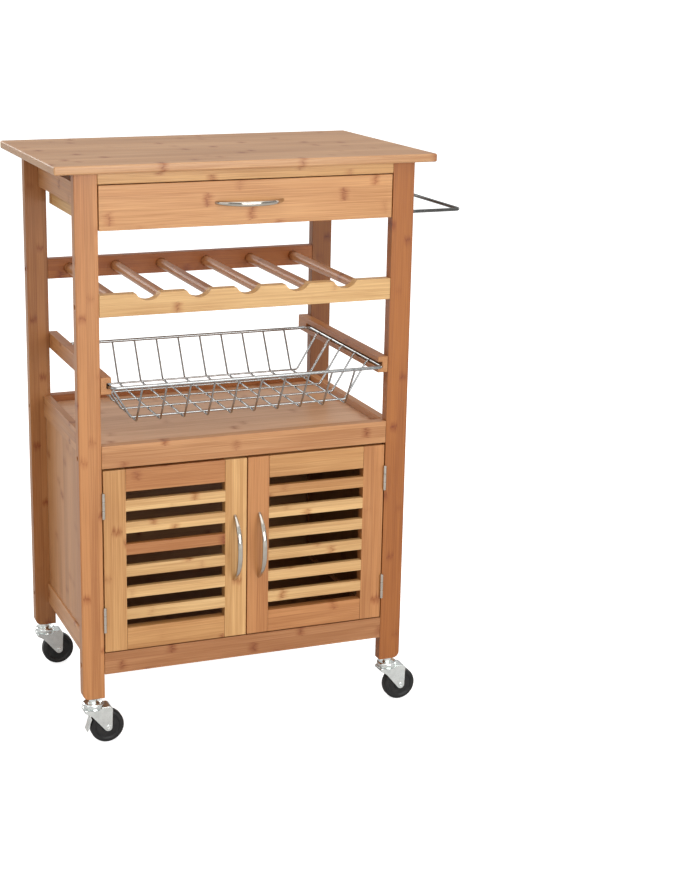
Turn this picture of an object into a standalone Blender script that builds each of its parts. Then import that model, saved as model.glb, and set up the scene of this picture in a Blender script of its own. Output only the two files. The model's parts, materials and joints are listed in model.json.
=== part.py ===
"""Bamboo kitchen island cart, built as it goes together on a bench.

Four flat legs carry a top, a drawer, a wine rack, a hanging wire basket and a cabinet with two
slatted doors, on four swivel casters. Metres, +Z up, the front faces -Y. Every piece is placed
from the middle of the four legs at floor level; one empty then shifts the whole cart so that
the origin lies below the middle of its outer box.
"""

import math

import bmesh
import bpy
from mathutils import Matrix, Vector

# Driving dimensions.
HEIGHT = 0.850
TOP_WIDTH = 0.563
TOP_DEPTH = 0.346
TOP_THICK = 0.012
FRAME_WIDTH = 0.504  # outer faces of the legs
FRAME_DEPTH = 0.321
LEG_WIDTH = 0.033
LEG_DEPTH = 0.016
LEG_BOTTOM = 0.071
RAIL_HEIGHT = 0.033
SIDE_RAIL_THICK = 0.0115
GAP = 0.0003  # between pieces that touch

# Heights of the lower edges of the rails, and what hangs from them.
BOTTOM_RAIL_Z = 0.108
SHELF_RAIL_Z = 0.421
RACK_RAIL_Z = 0.639
RACK_RAIL_HEIGHT = 0.031
TOP_SIDE_RAIL_Z = 0.782
FRONT_RAIL_Z = 0.8227
TRAY_SINK = 0.0105
TRAY_THICK = 0.008
FLOOR_SINK = 0.0055
PANEL_THICK = 0.006
PANEL_RECESS = 0.0245  # of the cabinet's sides, from the legs' outer faces
BACK_RECESS = 0.005

# Drawer.
DRAWER_Z = 0.759
DRAWER_TOP_Z = 0.8213
DRAWER_FRONT_THICK = 0.016
DRAWER_SIDE_THICK = 0.012
DRAWER_SIDE_Z = (0.7575, 0.812)
DRAWER_REAR_Y = 0.134
DRAWER_BOTTOM_Z = (0.761, 0.766)
RUNNER_TONGUE = 0.006
RUNNER_TONGUE_HEIGHT = 0.008
RUNNER_Z = 0.7985

# Wine rack.
BOTTLE_PITCH = 0.074
BOTTLES = 5
DIP_WIDTH = 0.036
DIP_DEPTH = 0.0105
DOWEL_RADIUS = 0.0075
DOWEL_SOCKET = 0.008

# Wire basket and the grooved rails that it slides in.
BASKET_RAIL_Z = (0.5295, 0.5535)
BASKET_RAIL_THICK = 0.016
GROOVE_Z = (0.5375, 0.5455)
GROOVE_DEEP = 0.007
GROOVE_END_Y = 0.126
RIM_RADIUS = 0.0025
RIM_HALF_WIDTH = 0.2065
RIM_Y = (-0.172, 0.118)
RIM_CORNER = 0.010
WIRE_RADIUS = 0.0015
BASKET_FLOOR_Z = 0.481
BASKET_FLOOR_HALF_WIDTH = 0.166
BASKET_FLOOR_HALF_DEPTH = 0.111
CROSS_WIRES = 10
CROSS_WIRE_PITCH = 0.0358
LONG_WIRES = 5

# Doors.
DOOR_Z = (0.1427, 0.4177)
DOOR_THICK = 0.015
DOOR_SIDE_GAP = 0.0016
DOOR_MEETING_GAP = 0.0016
DOOR_BOARD = 0.0335
SLATS = 6
SLAT_HEIGHT = 0.0165
SLAT_THICK = 0.009

# Hinges: a leaf on the leg with the pin, and a leaf on the door that turns about it.
HINGE_HEIGHT = 0.038
HINGE_FROM_DOOR_END = 0.051
LEAF_THICK = 0.0007
LEAF_DEPTH = 0.014
KNUCKLE_RADIUS = 0.0024
KNUCKLE_PROUD = 0.0027
MIDDLE_KNUCKLE = 0.0124
PIN_RADIUS = 0.0011
PIN_BORE = 0.0014

# Bow handles.
HANDLE_LENGTH = 0.105
HANDLE_STANDOFF = 0.0235
HANDLE_MIDDLE_RADIUS = 0.0048
HANDLE_END_RADIUS = 0.0030
HANDLE_FLATNESS = 0.62

# Towel rail.
TOWEL_Z = 0.765
TOWEL_REACH = 0.0785
TOWEL_RADIUS = 0.0025
TOWEL_CORNER = 0.008

# Casters.
WHEEL_RADIUS = 0.0255
WHEEL_WIDTH = 0.017
CASTER_TRAIL = 0.020
STEM_RADIUS = 0.004
STEM_SOCKET_RADIUS = 0.0046
STEM_INTO_LEG = 0.028
RACE_RADIUS = 0.0162
RACE_Z = (0.0545, 0.0610)
FORK_WIDTH = 0.0230
FORK_SLOT = 0.0190
FORK_CROWN_Z = 0.0525
FORK_END_RADIUS = 0.0062
AXLE_RADIUS = 0.0024
WHEEL_BORE = 0.0030
HUB_RADIUS = 0.0085
TREAD_INNER = 0.0185
BRAKE_HINGE = (-0.0080, 0.0496)  # from the stem, and above the floor
BRAKE_PIN_RADIUS = 0.0010
BRAKE_BORE = 0.0013
BRAKE_BARREL = 0.0022
BRAKE_HALF_WIDTH = 0.0075
BRAKE_CLEARANCE = 0.0016
BRAKE_THICK = 0.0016

# Values that follow from the ones above.
LEG_INNER = FRAME_WIDTH / 2 - LEG_WIDTH
FRONT_Y = -FRAME_DEPTH / 2
REAR_Y = FRAME_DEPTH / 2
FRONT_LEG_BACK = FRONT_Y + LEG_DEPTH
REAR_LEG_FRONT = REAR_Y - LEG_DEPTH
TOP_UNDERSIDE = HEIGHT - TOP_THICK
LEG_CENTRE_X = FRAME_WIDTH / 2 - LEG_WIDTH / 2
LEG_CENTRE_Y = FRAME_DEPTH / 2 - LEG_DEPTH / 2
DOOR_OUTER = LEG_INNER - DOOR_SIDE_GAP
PIN_X = LEG_INNER - DOOR_SIDE_GAP * 0.72
PIN_Y = FRONT_Y - KNUCKLE_PROUD
HANDLE_TIP_Y = FRONT_Y - GAP - HANDLE_STANDOFF - HANDLE_MIDDLE_RADIUS * HANDLE_FLATNESS

for old in list(bpy.data.objects):
    bpy.data.objects.remove(old, do_unlink=True)

# The outer box runs from the left edge of the top to the towel rail's long bar, and from the
# handles' crowns to the rear edge of the top.
towel_outer = FRAME_WIDTH / 2 + TOWEL_REACH + TOWEL_RADIUS
cart = bpy.data.objects.new("cart", None)
cart.location = (-(towel_outer - TOP_WIDTH / 2) / 2, -(TOP_DEPTH / 2 + HANDLE_TIP_Y) / 2, 0)
bpy.context.scene.collection.objects.link(cart)


def finish(name, colour, roughness, metallic):
    """A Principled BSDF material for one of the cart's finishes."""
    made = bpy.data.materials.new(name)
    made.use_nodes = True
    shader = made.node_tree.nodes["Principled BSDF"]
    shader.inputs["Base Color"].default_value = (*colour, 1)
    shader.inputs["Roughness"].default_value = roughness
    shader.inputs["Metallic"].default_value = metallic
    return made


BAMBOO = finish("bamboo", (0.56, 0.30, 0.13), 0.42, 0)
PALE_BAMBOO = finish("pale_bamboo", (0.66, 0.40, 0.17), 0.42, 0)
CHROME = finish("chrome", (0.72, 0.72, 0.72), 0.12, 1)
SATIN_NICKEL = finish("satin_nickel", (0.66, 0.64, 0.60), 0.28, 1)
ZINC = finish("zinc", (0.62, 0.66, 0.66), 0.32, 1)
BLACK_RUBBER = finish("black_rubber", (0.02, 0.02, 0.02), 0.55, 0)


def add(name, mesh, material, pivot=(0, 0, 0), smooth=False):
    """Links a mesh given in cart coordinates as an object with its origin at pivot."""
    mesh.transform(Matrix.Translation(-Vector(pivot)))
    if smooth:
        mesh.shade_smooth()
        mesh.set_sharp_from_angle(angle=math.radians(35))
    made = bpy.data.objects.new(name, mesh)
    made.data.materials.append(material)
    made.location = pivot
    made.parent = cart
    bpy.context.scene.collection.objects.link(made)
    return made


def mesh_of(bm, name):
    """Turns a bmesh into a mesh with its faces pointing out, and frees it."""
    bmesh.ops.recalc_face_normals(bm, faces=bm.faces)
    mesh = bpy.data.meshes.new(name)
    bm.to_mesh(mesh)
    bm.free()
    return mesh


def add_block(bm, low, high):
    """Adds a cuboid between two corners to a bmesh."""
    low, high = Vector(low), Vector(high)
    place = Matrix.Translation((low + high) / 2) @ Matrix.Diagonal((*(high - low), 1))
    bmesh.ops.create_cube(bm, size=1, matrix=place)


def block(name, low, high, material, pivot=(0, 0, 0)):
    """One board: a cuboid between two corners."""
    bm = bmesh.new()
    add_block(bm, low, high)
    return add(name, mesh_of(bm, name), material, pivot)


def prism(name, outline, along, start, end, material, pivot=(0, 0, 0)):
    """An outline of 2-D points, extruded along X, Y or Z. The outline lies in the other two axes."""
    order = {"X": (2, 0, 1), "Y": (0, 2, 1), "Z": (0, 1, 2)}[along]
    bm = bmesh.new()
    ends = []
    for level in (start, end):
        rows = [(u, v, level) for u, v in outline]
        ends.append([bm.verts.new([row[i] for i in order]) for row in rows])
    count = len(outline)
    for i in range(count):
        j = (i + 1) % count
        bm.faces.new((ends[0][i], ends[0][j], ends[1][j], ends[1][i]))
    bm.faces.new(ends[0])
    bm.faces.new(ends[1])
    return add(name, mesh_of(bm, name), material, pivot)


def arc(centre, radius, start, end, steps):
    """Points on a circular arc, angles in degrees, both ends included."""
    turns = [math.radians(start + (end - start) * i / steps) for i in range(steps + 1)]
    return [(centre[0] + radius * math.cos(a), centre[1] + radius * math.sin(a)) for a in turns]


def add_rod(bm, start, end, radius, sides):
    """Adds a straight round rod between two points to a bmesh."""
    start, end = Vector(start), Vector(end)
    along = end - start
    turn = along.to_track_quat("Z", "Y").to_matrix().to_4x4()
    place = Matrix.Translation((start + end) / 2) @ turn
    bmesh.ops.create_cone(
        bm, cap_ends=True, segments=sides, radius1=radius, radius2=radius,
        depth=along.length, matrix=place,
    )


def add_tube(bm, points, radius, sides, closed=False):
    """Adds a tube along points to a bmesh, mitred at its bends. No stretch of it may be upright."""
    points = [Vector(p) for p in points]
    count = len(points)
    rings = []
    for i, point in enumerate(points):
        before = points[i - 1] if i > 0 or closed else None
        after = points[(i + 1) % count] if i < count - 1 or closed else None
        come = (point - before).normalized() if before else (after - point).normalized()
        leave = (after - point).normalized() if after else come
        heading = (come + leave).normalized()
        across = heading.cross(Vector((0, 0, 1))).normalized()
        up = across.cross(heading).normalized()
        bend = (leave - come).normalized()
        stretch = 1.0 / math.cos(come.angle(leave) / 2)
        ring = []
        for k in range(sides):
            turn = 2 * math.pi * k / sides
            side = across * math.cos(turn) + up * math.sin(turn)
            side += bend * side.dot(bend) * (stretch - 1.0)
            ring.append(bm.verts.new(point + side * radius))
        rings.append(ring)
    spans = count if closed else count - 1
    for i in range(spans):
        one, two = rings[i], rings[(i + 1) % count]
        for k in range(sides):
            j = (k + 1) % sides
            bm.faces.new((one[k], one[j], two[j], two[k]))
    if not closed:
        bm.faces.new(rings[0])
        bm.faces.new(rings[-1])


def turned(name, profile, sides, centre, material):
    """A closed profile of (radius, y) points spun about the Y axis through centre."""
    bm = bmesh.new()
    rings = []
    for k in range(sides):
        turn = 2 * math.pi * k / sides
        ring = []
        for radius, y in profile:
            point = Vector((radius * math.cos(turn), y, radius * math.sin(turn)))
            ring.append(bm.verts.new(Vector(centre) + point))
        rings.append(ring)
    for k in range(sides):
        one, two = rings[k], rings[(k + 1) % sides]
        for i in range(len(profile)):
            j = (i + 1) % len(profile)
            bm.faces.new((one[i], one[j], two[j], two[i]))
    return add(name, mesh_of(bm, name), material, centre, smooth=True)


def boolean(piece, operation, bm):
    """Cuts or joins a piece with a hidden helper made from a bmesh in cart coordinates."""
    name = f"{piece.name}_{operation.lower()}_{len(piece.modifiers)}"
    helper = add(name, mesh_of(bm, name), piece.data.materials[0], tuple(piece.location))
    helper.hide_render = True
    helper.display_type = "WIRE"
    helper.hide_set(True)
    step = piece.modifiers.new(operation.lower(), "BOOLEAN")
    step.operation = operation
    step.solver = "EXACT"
    step.object = helper
    return piece


SIDES = (("left", -1), ("right", 1))


# Top: one glued board with eased edges.
def make_top():
    low = (-TOP_WIDTH / 2, -TOP_DEPTH / 2, TOP_UNDERSIDE)
    top = block("table_top", low, (TOP_WIDTH / 2, TOP_DEPTH / 2, HEIGHT), BAMBOO)
    ease = top.modifiers.new("eased_edges", "BEVEL")
    ease.width = 0.0022
    ease.segments = 2


# Legs: flat boards with the outer bottom corner rounded, a socket for the caster's stem and
# three bolt holes in the outer edge.
def make_legs():
    corner = 0.010
    outline = [(-LEG_WIDTH / 2, TOP_UNDERSIDE - GAP), (-LEG_WIDTH / 2, LEG_BOTTOM)]
    outline += arc((LEG_WIDTH / 2 - corner, LEG_BOTTOM + corner), corner, -90, 0, 5)
    outline += [(LEG_WIDTH / 2, TOP_UNDERSIDE - GAP)]
    bolt_heights = (
        BOTTOM_RAIL_Z + RAIL_HEIGHT / 2,
        SHELF_RAIL_Z + RAIL_HEIGHT / 2,
        RACK_RAIL_Z + RACK_RAIL_HEIGHT / 2,
    )
    for side, sign in SIDES:
        placed = [(sign * (LEG_CENTRE_X + x), z) for x, z in outline]
        for end, middle in (("front", -LEG_CENTRE_Y), ("rear", LEG_CENTRE_Y)):
            half = LEG_DEPTH / 2
            name = f"leg_{end}_{side}"
            leg = prism(name, placed, "Y", middle - half, middle + half, BAMBOO)
            holes = bmesh.new()
            foot = Vector((sign * LEG_CENTRE_X, middle, LEG_BOTTOM))
            socket_top = foot + Vector((0, 0, STEM_INTO_LEG + 0.004))
            add_rod(holes, foot - Vector((0, 0, 0.005)), socket_top, STEM_SOCKET_RADIUS, 12)
            for z in bolt_heights:
                outer = Vector((sign * (FRAME_WIDTH / 2 + 0.004), middle, z))
                inner = Vector((sign * (FRAME_WIDTH / 2 - 0.006), middle, z))
                add_rod(holes, inner, outer, 0.0036, 10)
            boolean(leg, "DIFFERENCE", holes)


# Rails between the legs. Those that run left to right are as thick as the legs; those that run
# front to back are thinner and flush with the legs' inner faces.
def cross_rail(name, end, z, height, material=BAMBOO):
    """A rail that runs left to right between the front or the rear legs."""
    y = {"front": (FRONT_Y, FRONT_LEG_BACK), "rear": (REAR_LEG_FRONT, REAR_Y)}[end]
    low = (-LEG_INNER + GAP, y[0], z)
    return block(name, low, (LEG_INNER - GAP, y[1], z + height), material)


def side_rail(name, sign, z, tongue=False):
    """A rail that runs front to back; tongue adds the batten that the drawer slides on."""
    inner = LEG_INNER
    outer = LEG_INNER + SIDE_RAIL_THICK
    outline = [(outer, z + RAIL_HEIGHT), (outer, z), (inner, z)]
    if tongue:
        low = RUNNER_Z - RUNNER_TONGUE_HEIGHT / 2
        high = RUNNER_Z + RUNNER_TONGUE_HEIGHT / 2
        tip = inner - RUNNER_TONGUE
        outline += [(inner, low), (tip, low), (tip, high), (inner, high)]
    outline += [(inner, z + RAIL_HEIGHT)]
    placed = [(sign * x, height) for x, height in outline]
    return prism(name, placed, "Y", FRONT_LEG_BACK + GAP, REAR_LEG_FRONT - GAP, BAMBOO)


def make_frame_rails():
    front_height = TOP_UNDERSIDE - GAP - FRONT_RAIL_Z
    cross_rail("top_front_rail", "front", FRONT_RAIL_Z, front_height)
    for end in ("front", "rear"):
        cross_rail(f"shelf_{end}_rail", end, SHELF_RAIL_Z, RAIL_HEIGHT)
        cross_rail(f"bottom_{end}_rail", end, BOTTOM_RAIL_Z, RAIL_HEIGHT)
    for side, sign in SIDES:
        side_rail(f"top_{side}_rail", sign, TOP_SIDE_RAIL_Z, tongue=True)
        side_rail(f"shelf_{side}_rail", sign, SHELF_RAIL_Z)
        side_rail(f"bottom_{side}_rail", sign, BOTTOM_RAIL_Z)


# Panels: the tray shelf, and the cabinet's sides, back and floor.
def make_panels():
    half_width = LEG_INNER - GAP
    front, rear = FRONT_LEG_BACK + GAP, REAR_LEG_FRONT - GAP
    tray_z = SHELF_RAIL_Z + RAIL_HEIGHT - TRAY_SINK
    tray_low = (-half_width, front, tray_z - TRAY_THICK)
    block("tray_panel", tray_low, (half_width, rear, tray_z), BAMBOO)
    floor_z = BOTTOM_RAIL_Z + RAIL_HEIGHT - FLOOR_SINK
    floor_low = (-half_width, front, floor_z - TRAY_THICK)
    block("cabinet_floor", floor_low, (half_width, rear, floor_z), BAMBOO)
    low_z = BOTTOM_RAIL_Z + RAIL_HEIGHT + GAP
    high_z = SHELF_RAIL_Z - GAP
    back_y = REAR_Y - BACK_RECESS
    block(
        "cabinet_back",
        (-half_width, back_y - PANEL_THICK, low_z),
        (half_width, back_y, high_z),
        PALE_BAMBOO,
    )
    outer = FRAME_WIDTH / 2 - PANEL_RECESS
    for side, sign in SIDES:
        edges = sorted((sign * outer, sign * (outer - PANEL_THICK)))
        low = (edges[0], front, low_z)
        block(f"cabinet_{side}_panel", low, (edges[1], rear, high_z), BAMBOO)


# Bow handle: a flattened bar whose ends curve back to the face it is screwed to. along is the
# direction of its length, and its origin lies at the middle of its foot line.
def bow_handle(name, centre, along, pivot):
    stations = 14
    points = []
    radii = []
    for i in range(stations + 1):
        t = -1 + 2 * i / stations
        rise = 1 - abs(t) ** 2.4
        reach = t * (HANDLE_LENGTH / 2 - HANDLE_END_RADIUS)
        stand = rise * HANDLE_STANDOFF + GAP
        points.append(Vector(centre) + Vector(along) * reach + Vector((0, -stand, 0)))
        radii.append(HANDLE_END_RADIUS + (HANDLE_MIDDLE_RADIUS - HANDLE_END_RADIUS) * rise)
    # The first and last stations turn square to the face, so that the bar meets it flat.
    for i, inner in ((0, 1), (stations, stations - 1)):
        points[inner].x += (points[i].x - points[inner].x) * 0.72
        points[inner].z += (points[i].z - points[inner].z) * 0.72
    bm = bmesh.new()
    across = Vector(along).cross(Vector((0, 1, 0)))
    count = len(points)
    rings = []
    sides = 12
    for i, point in enumerate(points):
        if i in (0, count - 1):
            heading = Vector((0, 1, 0)) if i else Vector((0, -1, 0))
        else:
            heading = (points[i + 1] - points[i - 1]).normalized()
        out = across.cross(heading).normalized()
        ring = []
        for k in range(sides):
            turn = 2 * math.pi * k / sides
            wide = across * math.cos(turn) * radii[i]
            thin = out * math.sin(turn) * radii[i] * HANDLE_FLATNESS
            ring.append(bm.verts.new(point + wide + thin))
        rings.append(ring)
    for one, two in zip(rings, rings[1:]):
        for k in range(sides):
            j = (k + 1) % sides
            bm.faces.new((one[k], one[j], two[j], two[k]))
    bm.faces.new(rings[0])
    bm.faces.new(rings[-1])
    return add(name, mesh_of(bm, name), SATIN_NICKEL, pivot, smooth=True)


# Drawer: front, two grooved sides, back and bottom. It slides on the battens of the top side
# rails, so all its pieces share one origin at its middle.
def make_drawer():
    pivot = (0, FRONT_Y, RUNNER_Z)
    front_back = FRONT_Y + DRAWER_FRONT_THICK
    half = LEG_INNER - 0.0013
    low = (-half, FRONT_Y, DRAWER_Z)
    block("drawer_front", low, (half, front_back, DRAWER_TOP_Z), BAMBOO, pivot)
    outer = LEG_INNER - 0.0021
    inner = outer - DRAWER_SIDE_THICK
    groove = LEG_INNER - RUNNER_TONGUE - 0.0006
    half_groove = RUNNER_TONGUE_HEIGHT / 2 + 0.0006
    bottom, top = DRAWER_SIDE_Z
    outline = [
        (inner, bottom), (outer, bottom), (outer, RUNNER_Z - half_groove),
        (groove, RUNNER_Z - half_groove), (groove, RUNNER_Z + half_groove),
        (outer, RUNNER_Z + half_groove), (outer, top), (inner, top),
    ]
    start = front_back + GAP
    for side, sign in SIDES:
        placed = [(sign * x, z) for x, z in outline]
        name = f"drawer_{side}_side"
        prism(name, placed, "Y", start, DRAWER_REAR_Y, PALE_BAMBOO, pivot)
    half = inner - GAP
    floor_low, floor_high = DRAWER_BOTTOM_Z
    low = (-half, start, floor_low)
    block("drawer_bottom", low, (half, DRAWER_REAR_Y, floor_high), PALE_BAMBOO, pivot)
    low = (-half, DRAWER_REAR_Y - DRAWER_SIDE_THICK, floor_high + GAP)
    block("drawer_back", low, (half, DRAWER_REAR_Y, top), PALE_BAMBOO, pivot)
    middle = (DRAWER_Z + DRAWER_TOP_Z) / 2 + 0.001
    bow_handle("drawer_handle", (0, FRONT_Y, middle), (1, 0, 0), pivot)


# Wine rack: a rear rail and a scalloped front rail, joined by dowels that the bottles lie on.
def make_rack():
    dowel_z = RACK_RAIL_Z + RACK_RAIL_HEIGHT / 2
    dowels = [(i - BOTTLES / 2) * BOTTLE_PITCH for i in range(BOTTLES + 1)]
    dips = [(i - (BOTTLES - 1) / 2) * BOTTLE_PITCH for i in range(BOTTLES)]
    top = RACK_RAIL_Z + RACK_RAIL_HEIGHT
    radius = (DIP_WIDTH ** 2 / 4 + DIP_DEPTH ** 2) / (2 * DIP_DEPTH)
    half_angle = math.degrees(math.asin(DIP_WIDTH / 2 / radius))
    edge = LEG_INNER - GAP
    outline = [(edge, RACK_RAIL_Z), (-edge, RACK_RAIL_Z), (-edge, top)]
    for x in dips:
        centre = (x, top - DIP_DEPTH + radius)
        outline += arc(centre, radius, -90 - half_angle, -90 + half_angle, 8)
    outline += [(edge, top)]
    front = prism("rack_front_rail", outline, "Y", FRONT_Y, FRONT_LEG_BACK, PALE_BAMBOO)
    rear = cross_rail("rack_rear_rail", "rear", RACK_RAIL_Z, RACK_RAIL_HEIGHT)
    for rail, face, inward in ((front, FRONT_LEG_BACK, -1), (rear, REAR_LEG_FRONT, 1)):
        sockets = bmesh.new()
        for x in dowels:
            mouth = (x, face - inward * 0.004, dowel_z)
            foot = (x, face + inward * DOWEL_SOCKET, dowel_z)
            add_rod(sockets, mouth, foot, DOWEL_RADIUS + GAP, 14)
        boolean(rail, "DIFFERENCE", sockets)
    for i, x in enumerate(dowels):
        bm = bmesh.new()
        start = (x, FRONT_LEG_BACK - DOWEL_SOCKET + GAP, dowel_z)
        end = (x, REAR_LEG_FRONT + DOWEL_SOCKET - GAP, dowel_z)
        add_rod(bm, start, end, DOWEL_RADIUS - 0.0001, 14)
        name = f"rack_dowel_{i + 1}"
        add(name, mesh_of(bm, name), BAMBOO, smooth=True)


# Grooved rails on the legs' inner faces, and the wire basket whose rim slides in them.
def make_basket():
    outer = LEG_INNER - GAP
    inner = LEG_INNER - BASKET_RAIL_THICK
    for side, sign in SIDES:
        edges = sorted((sign * inner, sign * outer))
        low = (edges[0], FRONT_Y, BASKET_RAIL_Z[0])
        name = f"basket_rail_{side}"
        rail = block(name, low, (edges[1], REAR_Y, BASKET_RAIL_Z[1]), PALE_BAMBOO)
        cut = sorted((sign * (inner - 0.005), sign * (inner + GROOVE_DEEP)))
        groove = bmesh.new()
        add_block(
            groove,
            (cut[0], FRONT_Y - 0.005, GROOVE_Z[0]),
            (cut[1], GROOVE_END_Y, GROOVE_Z[1]),
        )
        boolean(rail, "DIFFERENCE", groove)

    middle_y = sum(RIM_Y) / 2
    rim_z = GROOVE_Z[0] + GAP + RIM_RADIUS
    pivot = (0, middle_y, rim_z)
    bm = bmesh.new()
    for i in range(CROSS_WIRES):
        x = (i - (CROSS_WIRES - 1) / 2) * CROSS_WIRE_PITCH
        path = [
            (x, RIM_Y[0] + 0.0005, rim_z),
            (x, middle_y - BASKET_FLOOR_HALF_DEPTH, BASKET_FLOOR_Z),
            (x, middle_y + BASKET_FLOOR_HALF_DEPTH, BASKET_FLOOR_Z),
            (x, RIM_Y[1] - 0.0005, rim_z),
        ]
        add_tube(bm, path, WIRE_RADIUS, 6)
    basket = add("wire_basket", mesh_of(bm, "wire_basket"), CHROME, pivot)

    long_wires = bmesh.new()
    long_z = BASKET_FLOOR_Z + WIRE_RADIUS * 1.3
    lead_in = 0.0065
    for i in range(LONG_WIRES):
        share = (i + 0.5) / LONG_WIRES * 2 - 1
        y = middle_y + share * (BASKET_FLOOR_HALF_DEPTH + 0.012)
        path = [(-RIM_HALF_WIDTH + 0.0005, y, rim_z), (-RIM_HALF_WIDTH + lead_in, y, rim_z)]
        path += [(-BASKET_FLOOR_HALF_WIDTH, y, long_z)]
        path += [(-x, y, z) for x, y, z in reversed(path)]
        add_tube(long_wires, path, WIRE_RADIUS, 6)
    boolean(basket, "UNION", long_wires)

    rim = bmesh.new()
    half_width = RIM_HALF_WIDTH - RIM_CORNER
    half_depth = (RIM_Y[1] - RIM_Y[0]) / 2 - RIM_CORNER
    path = []
    for turn, (sx, sy) in enumerate(((1, 1), (-1, 1), (-1, -1), (1, -1))):
        centre = (sx * half_width, middle_y + sy * half_depth)
        path += arc(centre, RIM_CORNER, 90 * turn, 90 * turn + 90, 3)
    add_tube(rim, [(x, y, rim_z) for x, y in path], RIM_RADIUS, 8, closed=True)
    boolean(basket, "UNION", rim)


# Towel rail: a U of rod on the right-hand legs' outer faces.
def make_towel_rail():
    start = FRAME_WIDTH / 2 + GAP
    reach = FRAME_WIDTH / 2 + TOWEL_REACH
    corner_x = reach - TOWEL_CORNER
    corner_y = LEG_CENTRE_Y - TOWEL_CORNER
    path = [(start, -LEG_CENTRE_Y)]
    path += arc((corner_x, -corner_y), TOWEL_CORNER, -90, 0, 4)
    path += arc((corner_x, corner_y), TOWEL_CORNER, 0, 90, 4)
    path += [(start, LEG_CENTRE_Y)]
    bm = bmesh.new()
    add_tube(bm, [(x, y, TOWEL_Z) for x, y in path], TOWEL_RADIUS, 8)
    add("towel_rail", mesh_of(bm, "towel_rail"), CHROME, smooth=True)


# Doors: a frame of four boards with slats let in flush with the front, made as one glued leaf.
def make_doors():
    low_z, high_z = DOOR_Z
    opening_z = (low_z + DOOR_BOARD, high_z - DOOR_BOARD)
    slat_gap = SLAT_HEIGHT
    end_gap = (opening_z[1] - opening_z[0] - SLATS * SLAT_HEIGHT - (SLATS - 1) * slat_gap) / 2
    slats = [opening_z[0] + end_gap + i * (SLAT_HEIGHT + slat_gap) for i in range(SLATS)]
    window_low = [opening_z[0]] + [z + SLAT_HEIGHT for z in slats]
    window_high = slats + [opening_z[1]]
    back = FRONT_Y + DOOR_THICK
    for side, sign in SIDES:
        pivot = (sign * PIN_X, PIN_Y, (low_z + high_z) / 2)
        edges = sorted((sign * DOOR_MEETING_GAP / 2, sign * DOOR_OUTER))
        low = (edges[0], FRONT_Y, low_z)
        door = block(f"door_{side}", low, (edges[1], back, high_z), PALE_BAMBOO, pivot)
        left, right = edges[0] + DOOR_BOARD, edges[1] - DOOR_BOARD
        windows = bmesh.new()
        for bottom, top in zip(window_low, window_high):
            add_block(windows, (left, FRONT_Y - 0.01, bottom), (right, back + 0.01, top))
        boolean(door, "DIFFERENCE", windows)
        pocket = bmesh.new()
        low = (left, FRONT_Y + SLAT_THICK, opening_z[0])
        add_block(pocket, low, (right, back + 0.01, opening_z[1]))
        boolean(door, "DIFFERENCE", pocket)
        recess = bmesh.new()
        shallow = sorted((sign * (DOOR_OUTER + 0.01), sign * (DOOR_OUTER - 0.0009)))
        for z in hinge_heights():
            half = HINGE_HEIGHT / 2 + GAP
            low = (shallow[0], FRONT_Y - 0.01, z - half)
            add_block(recess, low, (shallow[1], FRONT_Y + LEAF_DEPTH + 0.0002, z + half))
        boolean(door, "DIFFERENCE", recess)
        handle_x = sign * (DOOR_MEETING_GAP / 2 + DOOR_BOARD / 2 + 0.0015)
        centre = (handle_x, FRONT_Y, (low_z + high_z) / 2 + 0.0015)
        bow_handle(f"door_handle_{side}", centre, (0, 0, 1), pivot)


def hinge_heights():
    return (DOOR_Z[0] + HINGE_FROM_DOOR_END, DOOR_Z[1] - HINGE_FROM_DOOR_END)


# Butt hinges. The fixed leaf lies on the leg and carries the end knuckles and the pin; the
# moving leaf lies in the door's edge and carries the middle knuckle.
def join_knuckle(leaf, sign, leaf_x, z_low, z_high):
    """Joins a round barrel about the pin to its leaf, with the short arm between them."""
    half_arm = LEAF_THICK / 2 - 0.0001
    arm = bmesh.new()
    add_block(
        arm,
        (leaf_x - half_arm, PIN_Y + KNUCKLE_RADIUS * 0.5, z_low + 0.0002),
        (leaf_x + half_arm, FRONT_Y + 0.002, z_high - 0.0002),
    )
    boolean(leaf, "UNION", arm)
    barrel = bmesh.new()
    start, end = (sign * PIN_X, PIN_Y, z_low), (sign * PIN_X, PIN_Y, z_high)
    add_rod(barrel, start, end, KNUCKLE_RADIUS, 12)
    boolean(leaf, "UNION", barrel)


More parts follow.
